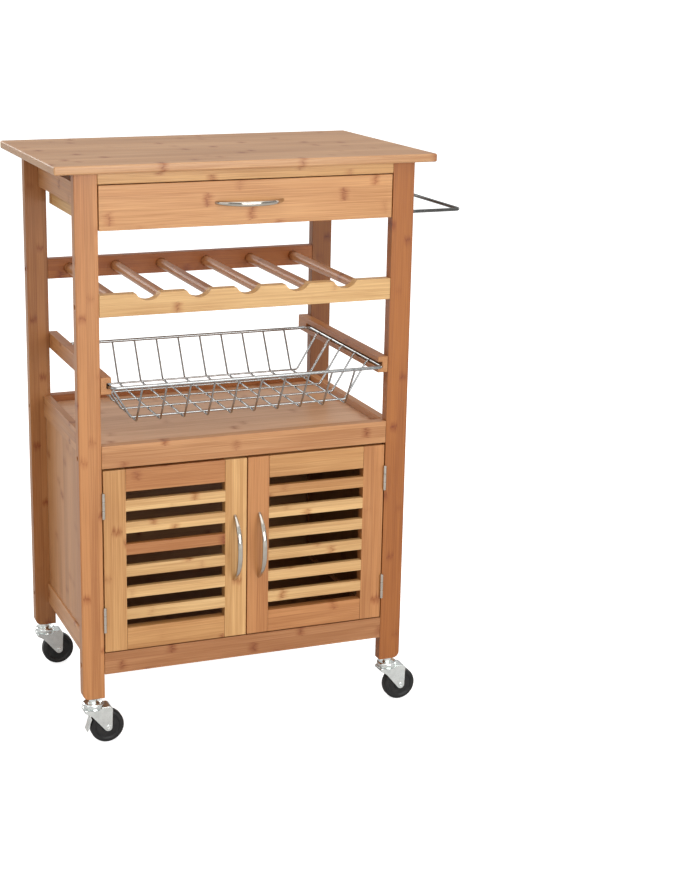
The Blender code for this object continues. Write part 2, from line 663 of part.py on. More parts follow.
def make_hinges():
    half = HINGE_HEIGHT / 2
    middle = MIDDLE_KNUCKLE / 2
    back = FRONT_Y + LEAF_DEPTH
    fixed_x = LEG_INNER - GAP - LEAF_THICK / 2
    moving_x = DOOR_OUTER - 0.0009 + GAP + LEAF_THICK / 2
    for side, sign in SIDES:
        for level, z in zip(("lower", "upper"), hinge_heights()):
            x = sign * fixed_x
            low = (x - LEAF_THICK / 2, FRONT_Y + 0.0002, z - half)
            name = f"hinge_{level}_{side}_leg_leaf"
            leaf = block(name, low, (x + LEAF_THICK / 2, back, z + half), SATIN_NICKEL)
            for z_low, z_high in ((z - half, z - middle - GAP), (z + middle + GAP, z + half)):
                join_knuckle(leaf, sign, x, z_low, z_high)
            pin = bmesh.new()
            reach = half - 0.002
            add_rod(
                pin,
                (sign * PIN_X, PIN_Y, z - reach),
                (sign * PIN_X, PIN_Y, z + reach),
                PIN_RADIUS, 8,
            )
            boolean(leaf, "UNION", pin)

            x = sign * moving_x
            pivot = (sign * PIN_X, PIN_Y, (DOOR_Z[0] + DOOR_Z[1]) / 2)
            low = (x - LEAF_THICK / 2, FRONT_Y + 0.0002, z - half)
            name = f"hinge_{level}_{side}_door_leaf"
            leaf = block(name, low, (x + LEAF_THICK / 2, back, z + half), SATIN_NICKEL, pivot)
            join_knuckle(leaf, sign, x, z - middle, z + middle)
            bore = bmesh.new()
            add_rod(
                bore,
                (sign * PIN_X, PIN_Y, z - half),
                (sign * PIN_X, PIN_Y, z + half),
                PIN_BORE, 12,
            )
            boolean(leaf, "DIFFERENCE", bore)


# Swivel casters. The fork carries the stem that turns in the leg, the ball race's cup and the
# riveted axle; the wheel turns on the axle. They trail to the right at rest.
def make_casters():
    for end, y in (("front", -LEG_CENTRE_Y), ("rear", LEG_CENTRE_Y)):
        for side, sign in SIDES:
            make_caster(f"{end}_{side}", sign * LEG_CENTRE_X, y)


def make_caster(place, x, y):
    swivel = (x, y, LEG_BOTTOM)
    axle = (x + CASTER_TRAIL, y, WHEEL_RADIUS)
    crown_top = RACE_Z[0] + 0.0012
    outline = [(x - 0.0135, crown_top), (x - 0.0150, crown_top - 0.004)]
    outline += [(x - 0.0050, 0.0455)]
    outline += arc((axle[0], WHEEL_RADIUS), FORK_END_RADIUS, 215, 358, 7)
    outline += [(x + 0.0270, FORK_CROWN_Z - 0.001), (x + 0.0255, crown_top)]
    half = FORK_WIDTH / 2
    fork = prism(f"caster_fork_{place}", outline, "Y", y - half, y + half, ZINC, swivel)
    slot = bmesh.new()
    half_slot = FORK_SLOT / 2
    add_block(
        slot,
        (x - 0.030, y - half_slot, -0.01),
        (x + 0.045, y + half_slot, FORK_CROWN_Z),
    )
    boolean(fork, "DIFFERENCE", slot)

    race = bmesh.new()
    stem_top = LEG_BOTTOM + STEM_INTO_LEG
    profile = [
        (RACE_RADIUS - 0.001, RACE_Z[0]), (RACE_RADIUS, RACE_Z[0] + 0.002),
        (RACE_RADIUS - 0.0015, RACE_Z[1]), (0.0105, RACE_Z[1] + 0.0022),
        (0.0070, RACE_Z[1] + 0.0024), (0.0070, LEG_BOTTOM - GAP - 0.0004),
        (STEM_RADIUS, LEG_BOTTOM - GAP - 0.0004), (STEM_RADIUS, stem_top),
    ]
    sides = 16
    rings = []
    for radius, height in profile:
        ring = []
        for k in range(sides):
            turn = 2 * math.pi * k / sides
            ring.append(race.verts.new((
                x + radius * math.cos(turn), y + radius * math.sin(turn), height,
            )))
        rings.append(ring)
    for one, two in zip(rings, rings[1:]):
        for k in range(sides):
            j = (k + 1) % sides
            race.faces.new((one[k], one[j], two[j], two[k]))
    race.faces.new(rings[0])
    race.faces.new(rings[-1])
    boolean(fork, "UNION", race)

    pin = bmesh.new()
    reach = FORK_WIDTH / 2 + 0.0012
    add_rod(
        pin,
        (axle[0], y - reach, WHEEL_RADIUS), (axle[0], y + reach, WHEEL_RADIUS),
        AXLE_RADIUS, 10,
    )
    boolean(fork, "UNION", pin)

    if place == "front_left":
        brake_pin = bmesh.new()
        pin_x, pin_z = x + BRAKE_HINGE[0], BRAKE_HINGE[1]
        start = (pin_x, y - half + 0.0005, pin_z)
        add_rod(brake_pin, start, (pin_x, y + half - 0.0005, pin_z), BRAKE_PIN_RADIUS, 8)
        boolean(fork, "UNION", brake_pin)

    half = WHEEL_WIDTH / 2
    web = half - 0.0022
    profile = [
        (WHEEL_BORE, -half), (HUB_RADIUS, -half), (HUB_RADIUS + 0.0015, -web),
        (TREAD_INNER, -web), (TREAD_INNER + 0.002, -half + 0.0006), (WHEEL_RADIUS, -half + 0.0035),
        (WHEEL_RADIUS, half - 0.0035), (TREAD_INNER + 0.002, half - 0.0006),
        (TREAD_INNER, web), (HUB_RADIUS + 0.0015, web), (HUB_RADIUS, half), (WHEEL_BORE, half),
    ]
    turned(f"caster_wheel_{place}", profile, 24, axle, BLACK_RUBBER)


# Brake of the front left caster: a lever that hangs in front of the tread from a pin between
# the fork's cheeks. It follows the tread and ends in a tab for the foot.
def make_brake():
    x, y = -LEG_CENTRE_X, -LEG_CENTRE_Y
    hinge = (x + BRAKE_HINGE[0], y, BRAKE_HINGE[1])
    axle = (x + CASTER_TRAIL, WHEEL_RADIUS)
    near = WHEEL_RADIUS + BRAKE_CLEARANCE
    far = near + BRAKE_THICK
    tip_x, tip_z = x - 0.0115, 0.0215
    outline = arc((hinge[0], hinge[2]), BRAKE_BARREL, 300, 510, 8)
    outline += arc(axle, far, 152, 172, 4)
    outline += [(tip_x, tip_z), (tip_x + 0.0013, tip_z - 0.0010)]
    outline += arc(axle, near, 176, 150, 5)
    half = BRAKE_HALF_WIDTH
    lever = prism("brake_lever", outline, "Y", y - half, y + half, ZINC, hinge)
    bore = bmesh.new()
    start = (hinge[0], y - half - 0.003, hinge[2])
    add_rod(bore, start, (hinge[0], y + half + 0.003, hinge[2]), BRAKE_BORE, 10)
    boolean(lever, "DIFFERENCE", bore)


make_top()
make_legs()
make_frame_rails()
make_panels()
make_drawer()
make_rack()
make_basket()
make_towel_rail()
make_doors()
make_hinges()
make_casters()
make_brake()
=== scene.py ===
"""Looks of a bamboo kitchen cart: lacquered boards, a chrome wire basket and zinc casters."""

import json
import math

import bmesh
import bpy
from mathutils import Matrix, Vector


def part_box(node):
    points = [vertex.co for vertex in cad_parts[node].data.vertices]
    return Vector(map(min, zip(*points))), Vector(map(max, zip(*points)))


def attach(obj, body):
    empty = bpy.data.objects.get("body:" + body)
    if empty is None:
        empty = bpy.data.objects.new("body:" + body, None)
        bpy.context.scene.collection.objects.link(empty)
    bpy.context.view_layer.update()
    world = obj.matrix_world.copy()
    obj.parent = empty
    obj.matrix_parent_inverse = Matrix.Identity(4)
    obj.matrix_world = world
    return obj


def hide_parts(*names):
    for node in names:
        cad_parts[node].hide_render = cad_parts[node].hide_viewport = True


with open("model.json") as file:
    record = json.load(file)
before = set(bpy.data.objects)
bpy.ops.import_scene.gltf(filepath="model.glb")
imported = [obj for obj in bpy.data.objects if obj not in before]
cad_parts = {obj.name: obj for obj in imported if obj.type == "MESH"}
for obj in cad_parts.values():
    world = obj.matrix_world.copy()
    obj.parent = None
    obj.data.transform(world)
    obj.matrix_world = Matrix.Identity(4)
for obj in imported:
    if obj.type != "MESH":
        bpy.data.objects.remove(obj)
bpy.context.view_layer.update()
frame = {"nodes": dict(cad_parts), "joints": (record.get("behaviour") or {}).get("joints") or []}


# Worktop. One glued board of bamboo strips that run the long way, sanded, with eased edges and
# a satin lacquer. The bamboo made here in many tones is that of every other board too.
MILLIMETRE = 0.001
KNUCKLE_SPACING = 0.205
PLY = 0.061
RUDDY = (0.97, 0.90, 0.82, 1)
KNUCKLE_BROWN = (0.66, 0.44, 0.29, 1)
KNUCKLE_LINE_BROWN = (0.55, 0.36, 0.24, 1)
SEAM_BROWN = (0.62, 0.45, 0.32, 1)
BUNDLE_BROWN = (0.2, 0.085, 0.03, 1)


def add_node(tree, kind, inputs=(), **settings):
    """A node with its settings, and its sockets fed by values or by other nodes' sockets."""
    node = tree.nodes.new(kind)
    for key, value in settings.items():
        setattr(node, key, value)
    for key, value in dict(inputs).items():
        if isinstance(value, bpy.types.NodeSocket):
            tree.links.new(value, node.inputs[key])
        else:
            node.inputs[key].default_value = value
    return node


def maths(tree, operation, first, second=0.0, third=0.0):
    inputs = {0: first, 1: second, 2: third}
    return add_node(tree, "ShaderNodeMath", inputs, operation=operation).outputs[0]


def remap(tree, value, low, high, to_low, to_high):
    inputs = {"Value": value, "From Min": low, "From Max": high, "To Min": to_low, "To Max": to_high}
    return add_node(tree, "ShaderNodeMapRange", inputs).outputs[0]


def blend_colour(tree, share, first, second, mode="MIX"):
    """Mixes two colours by a share, through the colour sockets of a Mix node."""
    node = add_node(tree, "ShaderNodeMix", data_type="RGBA", blend_type=mode)
    for index, value in ((0, share), (6, first), (7, second)):
        if isinstance(value, bpy.types.NodeSocket):
            tree.links.new(value, node.inputs[index])
        else:
            node.inputs[index].default_value = value
    return node.outputs[2]


def stain(tree, wood, mask, share, colour):
    """Multiplies the wood by a colour, where a mask is and to a share of it."""
    return blend_colour(tree, maths(tree, "MULTIPLY", mask, share), wood, colour, "MULTIPLY")


def noise(tree, vector, scale, detail=2.0, stretch=(1, 1, 1)):
    """Noise on a vector that is first stretched; higher numbers give finer grain that way."""
    moved = add_node(tree, "ShaderNodeVectorMath", {0: vector, 1: stretch}, operation="MULTIPLY")
    inputs = {"Vector": moved.outputs[0], "Scale": scale, "Detail": detail}
    return add_node(tree, "ShaderNodeTexNoise", inputs).outputs["Fac"]


def shader_group(name, inputs, outputs):
    """An empty shader node group with named sockets, its input node and its output node."""
    tree = bpy.data.node_groups.new(name, "ShaderNodeTree")
    for label, kind, value in inputs:
        socket = tree.interface.new_socket(label, in_out="INPUT", socket_type=f"NodeSocket{kind}")
        if value is not None:
            socket.default_value = value
    for label, kind in outputs:
        tree.interface.new_socket(label, in_out="OUTPUT", socket_type=f"NodeSocket{kind}")
    return tree, tree.nodes.new("NodeGroupInput").outputs, tree.nodes.new("NodeGroupOutput").inputs


def make_bamboo_strips():
    """Strips side by side along Y with grain along X: tone by strip, streaks, knuckles and seams."""
    tree, given, result = shader_group(
        "bamboo_strips",
        [
            ("Vector", "Vector", None), ("Facing", "Vector", None),
            ("Strip Width", "Float", 0.018), ("Seed", "Float", 0.0),
            ("Light", "Color", (1, 1, 1, 1)), ("Dark", "Color", (0, 0, 0, 1)),
        ],
        [("Color", "Color"), ("Fibre", "Float"), ("Height", "Float")],
    )
    place = add_node(tree, "ShaderNodeSeparateXYZ", {0: given["Vector"]}).outputs
    along, across, through = place[0], place[1], place[2]
    drift = noise(tree, given["Vector"], 5.0, 1.0)
    wander = maths(tree, "MULTIPLY_ADD", drift, 0.003, across)
    offset = maths(tree, "MULTIPLY_ADD", given["Seed"], 0.137, wander)
    step = maths(tree, "DIVIDE", offset, given["Strip Width"])
    strip = maths(tree, "FLOOR", step)
    inside = maths(tree, "FRACT", step)
    layer = maths(tree, "FLOOR", maths(tree, "DIVIDE", through, PLY))
    key = add_node(tree, "ShaderNodeCombineXYZ", {0: strip, 1: layer, 2: given["Seed"]})
    lots = add_node(tree, "ShaderNodeTexWhiteNoise", {"Vector": key.outputs[0]}).outputs
    lot_colour = add_node(tree, "ShaderNodeSeparateColor", {0: lots["Color"]}).outputs

    # Streaks of the grain, from hair-fine fibres to broad bands, on the strip's own tone.
    shift = add_node(tree, "ShaderNodeCombineXYZ", {0: maths(tree, "MULTIPLY", lots["Value"], 7.0)})
    grain = add_node(tree, "ShaderNodeVectorMath", {0: given["Vector"], 1: shift.outputs[0]}).outputs[0]
    fine = noise(tree, grain, 1.0, 2.0, (14.0, 1150.0, 1150.0))
    fibre = noise(tree, grain, 1.0, 2.0, (9.0, 620.0, 620.0))
    broad = noise(tree, grain, 1.0, 2.0, (5.0, 210.0, 210.0))
    cloud = noise(tree, grain, 9.0, 2.0, (0.4, 2.0, 2.0))
    tone = maths(tree, "MULTIPLY_ADD", lots["Value"], 0.5, -2.25)
    for streaks, share in ((fine, 1.6), (fibre, 1.1), (broad, 0.8), (cloud, 1.5)):
        tone = maths(tree, "MULTIPLY_ADD", streaks, share, tone)
    tone = maths(tree, "MINIMUM", maths(tree, "MAXIMUM", tone, 0.0), 1.0)
    wood = blend_colour(tree, tone, given["Dark"], given["Light"])
    wood = stain(tree, wood, lot_colour[0], 0.55, RUDDY)

    # Knuckles of the cane: a soft ruddy patch with ragged ends, and a broken dark line in it.
    run = maths(tree, "ADD", lot_colour[1], maths(tree, "DIVIDE", along, KNUCKLE_SPACING))
    ragged = maths(tree, "MULTIPLY_ADD", fibre, 0.09, run)
    ragged = maths(tree, "MULTIPLY_ADD", noise(tree, grain, 70.0, 2.0), 0.05, ragged)
    near = maths(tree, "ABSOLUTE", maths(tree, "SUBTRACT", maths(tree, "FRACT", ragged), 0.5))
    spot = add_node(tree, "ShaderNodeCombineXYZ", {0: strip, 1: maths(tree, "FLOOR", ragged), 2: layer})
    chance = add_node(tree, "ShaderNodeTexWhiteNoise", {"Vector": spot.outputs[0]}).outputs["Value"]
    strength = remap(tree, chance, 0.05, 0.75, 0.0, 1.0)
    edge = maths(tree, "MINIMUM", inside, maths(tree, "SUBTRACT", 1.0, inside))
    patch = maths(tree, "MULTIPLY", remap(tree, near, 0.004, 0.046, 1.0, 0.0), strength)
    patch = maths(tree, "MULTIPLY", patch, remap(tree, edge, 0.0, 0.2, 0.35, 1.0))
    line = maths(tree, "MULTIPLY", remap(tree, near, 0.002, 0.012, 1.0, 0.0), strength)
    line = maths(tree, "MULTIPLY", line, remap(tree, noise(tree, grain, 260.0, 1.0), 0.4, 0.6, 0, 1))
    wood = stain(tree, wood, patch, 0.85, KNUCKLE_BROWN)
    wood = stain(tree, wood, line, 0.6, KNUCKLE_LINE_BROWN)
    seam = remap(tree, edge, 0.0, 0.028, 1.0, 0.0)
    wood = stain(tree, wood, seam, 0.38, SEAM_BROWN)

    # Cut ends show the cane's bundles as dots.
    facing = add_node(tree, "ShaderNodeSeparateXYZ", {0: given["Facing"]}).outputs[0]
    end = remap(tree, maths(tree, "ABSOLUTE", facing), 0.7, 0.9, 0.0, 1.0)
    dots = remap(tree, noise(tree, given["Vector"], 1100.0, 2.0), 0.45, 0.62, 0.0, 1.0)
    cut = blend_colour(tree, maths(tree, "MULTIPLY", dots, 0.5), given["Light"], BUNDLE_BROWN)
    wood = blend_colour(tree, maths(tree, "MULTIPLY", end, 0.75), wood, cut)

    tree.links.new(wood, result["Color"])
    tree.links.new(fibre, result["Fibre"])
    height = maths(tree, "MULTIPLY_ADD", seam, -0.5, fibre)
    height = maths(tree, "MULTIPLY_ADD", line, -0.3, height)
    tree.links.new(height, result["Height"])
    return tree


bamboo_strips = make_bamboo_strips()
BAMBOO_TONES = {
    "worktop": (0.550, 0.290, 0.130),
    "honey": (0.525, 0.250, 0.100),
    "golden": (0.590, 0.288, 0.110),
    "wheat": (0.540, 0.270, 0.094),
    "straw": (0.650, 0.366, 0.141),
    "pale": (0.660, 0.398, 0.164),
    "amber": (0.360, 0.115, 0.020),
    "orange": (0.485, 0.203, 0.066),
    "cinnamon": (0.430, 0.185, 0.068),
    # These two tones are partly wood tone and partly painted shade under the worktop, for the rear
    # legs.
    "russet": (0.395, 0.164, 0.050),
    "chestnut": (0.255, 0.084, 0.011),
    # The tray tone is lighter and paler partly for the wood and partly as painted sheen.
    "tray": (0.720, 0.430, 0.240),
    # This darkest tone is painted shade, for the faces that look into the cabinet.
    "inner": (0.260, 0.115, 0.040),
}
LIGHTEST, DARKEST = (1.17, 1.26, 1.36), (0.82, 0.73, 0.63)
SATIN = (0.34, 0.46)
THIN_LACQUER, FULL_LACQUER = 0.12, 0.25
GRAIN_DEPTH = 0.3 * MILLIMETRE
bamboo_made = {}


def bamboo(grain, across, tone, strip, coat=THIN_LACQUER):
    """Lacquered bamboo with its grain along one axis and its strips side by side along another.

    A finish made before with strips as wide to the millimetre is used again. Each new one gets
    a pattern of its own.
    """
    name = f"bamboo_{tone}_{grain}{across}_{round(strip * 1000)}".lower()
    if name in bamboo_made:
        return bamboo_made[name]
    material = bpy.data.materials.new(name)
    material.use_nodes = True
    tree = material.node_tree
    shader = tree.nodes["Principled BSDF"]
    source = tree.nodes.new("ShaderNodeTexCoord").outputs
    third = next(axis for axis in "XYZ" if axis not in (grain, across))
    turned = {}
    for label in ("Object", "Normal"):
        parts = add_node(tree, "ShaderNodeSeparateXYZ", {0: source[label]}).outputs
        order = {0: parts[grain], 1: parts[across], 2: parts[third]}
        turned[label] = add_node(tree, "ShaderNodeCombineXYZ", order).outputs[0]
    light, dark = (
        (*(value * share for value, share in zip(BAMBOO_TONES[tone], shares)), 1)
        for shares in (LIGHTEST, DARKEST)
    )
    strips = add_node(tree, "ShaderNodeGroup", node_tree=bamboo_strips)
    for label, value in (("Strip Width", strip), ("Light", light), ("Dark", dark),
                         ("Seed", float(len(bamboo_made)))):
        strips.inputs[label].default_value = value
    tree.links.new(turned["Object"], strips.inputs["Vector"])
    tree.links.new(turned["Normal"], strips.inputs["Facing"])
    tree.links.new(strips.outputs["Color"], shader.inputs["Base Color"])
    gloss = remap(tree, strips.outputs["Fibre"], 0.3, 0.7, *SATIN)
    tree.links.new(gloss, shader.inputs["Roughness"])
    shader.inputs["Coat Weight"].default_value = coat
    shader.inputs["Coat Roughness"].default_value = 0.20
    bump = add_node(
        tree, "ShaderNodeBump",
        {"Height": strips.outputs["Height"], "Strength": 0.25, "Distance": GRAIN_DEPTH},
    )
    tree.links.new(bump.outputs[0], shader.inputs["Normal"])
    bamboo_made[name] = material
    return material


def plain_piece(obj):
    """Applies an object's modifiers, so that it holds a plain mesh."""
    graph = bpy.context.evaluated_depsgraph_get()
    mesh = bpy.data.meshes.new_from_object(obj.evaluated_get(graph))
    mesh.name = obj.name
    obj.modifiers.clear()
    obj.data = mesh
    return obj


def new_piece(name, mesh):
    obj = bpy.data.objects.new(name, mesh)
    bpy.context.scene.collection.objects.link(obj)
    return obj


def even_shading(piece, angle=40):
    """Smooth over rounded edges, with the flat faces kept flat."""
    piece.data.shade_smooth()
    piece.data.set_sharp_from_angle(angle=math.radians(angle))
    weights = piece.modifiers.new("weights", "WEIGHTED_NORMAL")
    weights.keep_sharp = True
    return plain_piece(piece)


def show(piece, body, slot, *nodes):
    """Puts a finished piece in the place of its nodes, on its body."""
    if nodes:
        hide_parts(*nodes)
    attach(piece, body)
    return piece


def ease_edges(piece, width, segments=2):
    """Rounds the sharp edges over, as sandpaper or a die does."""
    edges = piece.modifiers.new("eased", "BEVEL")
    edges.width = width
    edges.segments = segments
    edges.limit_method = "ANGLE"
    edges.angle_limit = math.radians(40)
    plain_piece(piece)
    return even_shading(piece)


def mesh_of(name, shape, *materials):
    """Ends a bmesh and keeps it as a mesh with its finishes."""
    mesh = bpy.data.meshes.new(name)
    shape.to_mesh(mesh)
    shape.free()
    for material in materials:
        mesh.materials.append(material)
    return mesh


def eased_copy(node, body, slot, material, ease=0.9 * MILLIMETRE):
    """The node's own shape with its edges eased, shown in its place."""
    solid = bmesh.new()
    solid.from_mesh(frame["nodes"][node].data)
    bmesh.ops.remove_doubles(solid, verts=solid.verts, dist=1e-6)
    bmesh.ops.dissolve_limit(
        solid, angle_limit=math.radians(1), verts=solid.verts, edges=solid.edges,
    )
    mesh = mesh_of(f"{node}_eased", solid, material)
    mesh.polygons.foreach_set("material_index", [0] * len(mesh.polygons))
    board = new_piece(mesh.name, mesh)
    ease_edges(board, ease)
    return show(board, body, slot, node)


PANEL_STRIP = 0.021
eased_copy("table_top", "frame", "bamboo", bamboo("X", "Y", "worktop", PANEL_STRIP, FULL_LACQUER))


# Legs. Four flat bamboo boards of two or three strips. Each has three counterbored holes in its
# outer edge, with a black socket bolt in the bottom of each that pulls the rails tight.
LEG_STRIP = 0.0125
# The rear legs' darker tones are partly their wood and partly painted shade under the worktop.
legs = {"leg_front_left": "orange", "leg_front_right": "amber",
        "leg_rear_left": "russet", "leg_rear_right": "chestnut"}
for leg, leg_tone in legs.items():
    eased_copy(leg, "frame", "bamboo", bamboo("Z", "X", leg_tone, LEG_STRIP), 1.1 * MILLIMETRE)


def metal_marks():
    """Marks that all the plated parts share: drawn streaks along Z and soft stains."""
    tree, given, result = shader_group(
        "metal_marks",
        [("Vector", "Vector", None), ("Streak Scale", "Float", 900.0)],
        [("Streaks", "Float"), ("Stains", "Float")],
    )
    streaks = noise(tree, given["Vector"], given["Streak Scale"], 2.0, (1.0, 1.0, 0.06))
    stains = noise(tree, given["Vector"], 130.0, 3.0)
    tree.links.new(streaks, result["Streaks"])
    tree.links.new(stains, result["Stains"])
    return tree


marks = metal_marks()


def plated(name, colour, stain_colour, rough, streak_scale=900.0, streak_height=0.00002):
    """A plated metal: its colour stains a little, and its streaks roughen and lift it."""
    material = bpy.data.materials.new(name)
    material.use_nodes = True
    tree = material.node_tree
    shader = tree.nodes["Principled BSDF"]
    source = tree.nodes.new("ShaderNodeTexCoord").outputs["Object"]
    group = add_node(tree, "ShaderNodeGroup", node_tree=marks)
    group.inputs["Streak Scale"].default_value = streak_scale
    tree.links.new(source, group.inputs["Vector"])
    stained = remap(tree, group.outputs["Stains"], 0.42, 0.72, 0.0, 1.0)
    colours = blend_colour(tree, stained, (*colour, 1), (*stain_colour, 1))
    tree.links.new(colours, shader.inputs["Base Color"])
    gloss = remap(tree, group.outputs["Streaks"], 0.3, 0.7, rough * 0.75, rough * 1.3)
    tree.links.new(gloss, shader.inputs["Roughness"])
    shader.inputs["Metallic"].default_value = 1.0
    bump = add_node(
        tree, "ShaderNodeBump",
        {"Height": group.outputs["Streaks"], "Strength": 0.5, "Distance": streak_height},
    )
    tree.links.new(bump.outputs[0], shader.inputs["Normal"])
    return material


black_oxide = plated("black_oxide", (0.06, 0.055, 0.05), (0.10, 0.08, 0.065), 0.42)


def node_tree(name, inputs):
    """An empty geometry node tree with a mesh input, named number inputs and a mesh output."""
    tree = bpy.data.node_groups.new(name, "GeometryNodeTree")
    tree.interface.new_socket("Geometry", in_out="INPUT", socket_type="NodeSocketGeometry")
    for label, kind, value in inputs:
        socket = tree.interface.new_socket(label, in_out="INPUT", socket_type=f"NodeSocket{kind}")
        if value is not None:
            socket.default_value = value
    tree.interface.new_socket("Geometry", in_out="OUTPUT", socket_type="NodeSocketGeometry")
    return tree, tree.nodes.new("NodeGroupInput").outputs, tree.nodes.new("NodeGroupOutput").inputs


def grow(name, points, edges, tree, values):
    """Runs a geometry node tree on a mesh of points and edges, and keeps the result as a mesh."""
    mesh = bpy.data.meshes.new(name)
    mesh.from_pydata([tuple(point) for point in points], edges, [])
    piece = new_piece(name, mesh)
    modifier = piece.modifiers.new("grown", "NODES")
    modifier.node_group = tree
    for item in tree.interface.items_tree:
        if item.in_out == "INPUT" and item.name in values:
            modifier[item.identifier] = values[item.name]
    return plain_piece(piece)


def skin(shape, rings):
    """Joins rings of points one to the next, and closes both ends."""
    for one, two in zip(rings, rings[1:]):
        for k in range(len(one)):
            j = (k + 1) % len(one)
            shape.faces.new((one[k], one[j], two[j], two[k]))
    shape.faces.new(rings[0])
    shape.faces.new(rings[-1])
    bmesh.ops.recalc_face_normals(shape, faces=shape.faces)


# Radius, depth and whether the ring is six-sided, in millimetres from the head's face.
BOLT_RINGS = ((3.2, -3.0, False), (3.2, -0.5, False), (2.8, 0.0, False), (1.75, 0.0, False),
              (1.6, -0.3, True), (1.6, -2.0, True))


def bolt_head_mesh(around=24):
    """A round head with a six-sided socket, its face towards +X."""
    head = bmesh.new()
    rings = []
    for radius, depth, six_sided in BOLT_RINGS:
        ring = []
        for k in range(around):
            turn = 2 * math.pi * k / around
            reach = radius
            if six_sided:
                reach = radius / math.cos((turn % (math.pi / 3)) - math.pi / 6)
            spot = (depth, reach * math.cos(turn), reach * math.sin(turn))
            ring.append(head.verts.new(Vector(spot) * MILLIMETRE))
        rings.append(ring)
    skin(head, rings)
    return mesh_of("bolt_head", head)


def finished(tree, shape, finish):
    """Makes copies real and gives them their finish, as the last steps of a tree."""
    real = add_node(tree, "GeometryNodeRealizeInstances", {0: shape})
    inputs = {0: real.outputs[0], "Material": finish}
    return add_node(tree, "GeometryNodeSetMaterial", inputs).outputs[0]


def bolts_tree(head):
    """Sets a copy of the bolt head on every point, turned to face away from the cart's middle."""
    inputs = [("Middle", "Float", 0.0), ("Finish", "Material", None)]
    tree, given, result = node_tree("leg_bolts", inputs)
    position = tree.nodes.new("GeometryNodeInputPosition").outputs[0]
    spot = add_node(tree, "ShaderNodeSeparateXYZ", {0: position}).outputs
    left = maths(tree, "LESS_THAN", spot[0], given["Middle"])
    facing = add_node(tree, "ShaderNodeCombineXYZ", {2: maths(tree, "MULTIPLY", left, math.pi)})
    source = add_node(tree, "GeometryNodeObjectInfo", {"Object": head})
    copies = add_node(tree, "GeometryNodeInstanceOnPoints", {
        "Points": given["Geometry"], "Instance": source.outputs["Geometry"],
        "Rotation": facing.outputs[0],
    })
    tree.links.new(finished(tree, copies.outputs[0], given["Finish"]), result[0])
    return tree


HOLE_DEPTH = 3.2 * MILLIMETRE
bolt_head = new_piece("bolt_head", bolt_head_mesh())
bolt_points = []
for leg in legs:
    low, high = (Vector(corner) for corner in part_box(leg))
    leg_middle = (low.y + high.y) / 2
    edge_x = low.x + HOLE_DEPTH if "left" in leg else high.x - HOLE_DEPTH
    for rail in ("bottom_front_rail", "shelf_front_rail", "rack_front_rail"):
        rail_low, rail_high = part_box(rail)
        bolt_points.append((edge_x, leg_middle, (rail_low[2] + rail_high[2]) / 2))
top_low, top_high = (Vector(corner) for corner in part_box("table_top"))
top_middle = (top_low + top_high) / 2
bolts = grow("leg_bolts", bolt_points, [], bolts_tree(bolt_head),
             {"Middle": top_middle.x, "Finish": black_oxide})
bpy.data.objects.remove(bolt_head)
even_shading(bolts)
show(bolts, "frame", "zinc")


# Rails and panels. Narrow boards that are glued and bolted between the legs, and thin panels in
# grooves: the tray, and the sides, back and floor of the cabinet. The side boards have the
# batten that the drawer runs on.
RAIL_STRIP = 0.0165
rail_tones = {"top_front_rail": "straw", "shelf_front_rail": "honey",
              "bottom_front_rail": "cinnamon", "shelf_rear_rail": "amber",
              "bottom_rear_rail": "amber", "rack_rear_rail": "amber"}
for rail, rail_tone in rail_tones.items():
    eased_copy(rail, "frame", "bamboo", bamboo("X", "Z", rail_tone, RAIL_STRIP), 0.7 * MILLIMETRE)
for rail in ("top_left_rail", "top_right_rail", "shelf_left_rail", "shelf_right_rail",
             "bottom_left_rail", "bottom_right_rail"):
    eased_copy(rail, "frame", "bamboo", bamboo("Y", "Z", "honey", RAIL_STRIP), 0.7 * MILLIMETRE)
# The tray's light, pale tone is partly painted sheen on the lacquer.
tray = bamboo("X", "Y", "tray", PANEL_STRIP, FULL_LACQUER)
eased_copy("tray_panel", "frame", "bamboo", tray, 0.4 * MILLIMETRE)


def paint_shade_inside(panel, inward, material):
    """Gives the face of a panel that looks into the cabinet a much darker bamboo, as painted shade
    inside the cabinet.
    """
    panel.data.materials.append(material)
    for face in panel.data.polygons:
        if face.normal.dot(Vector(inward)) > 0.7:
            face.material_index = 1


cabinet_panels = {
    "cabinet_floor": ("bamboo", "X", "Y", "cinnamon", (0, 0, 1)),
    "cabinet_back": ("pale_bamboo", "X", "Z", "honey", (0, -1, 0)),
    "cabinet_left_panel": ("bamboo", "Z", "Y", "honey", (1, 0, 0)),
    "cabinet_right_panel": ("bamboo", "Z", "Y", "honey", (-1, 0, 0)),
}
# The faces that look into the cabinet get painted shade: the same bamboo in a much darker tone.
for panel, (slot_name, along, across, panel_tone, inward) in cabinet_panels.items():
    outer = bamboo(along, across, panel_tone, PANEL_STRIP)
    board = eased_copy(panel, "frame", slot_name, outer, 0.4 * MILLIMETRE)
    paint_shade_inside(board, inward, bamboo(along, across, "inner", PANEL_STRIP))


# Drawer. A front of wide strips, lighter sides with the runner's groove, a back and a thin
# bottom. A satin nickel bow handle is screwed on from inside.
FRONT_STRIP = 0.0205
DRAWER_STRIP = 0.018
eased_copy("drawer_front", "drawer", "bamboo", bamboo("X", "Z", "golden", FRONT_STRIP))
for drawer_board, run in (("left_side", "Y"), ("right_side", "Y"), ("back", "X")):
    plain_board = bamboo(run, "Z", "pale", DRAWER_STRIP)
    eased_copy(f"drawer_{drawer_board}", "drawer", "pale_bamboo", plain_board, 0.6 * MILLIMETRE)
thin_board = bamboo("X", "Y", "pale", PANEL_STRIP)
eased_copy("drawer_bottom", "drawer", "pale_bamboo", thin_board, 0.3 * MILLIMETRE)

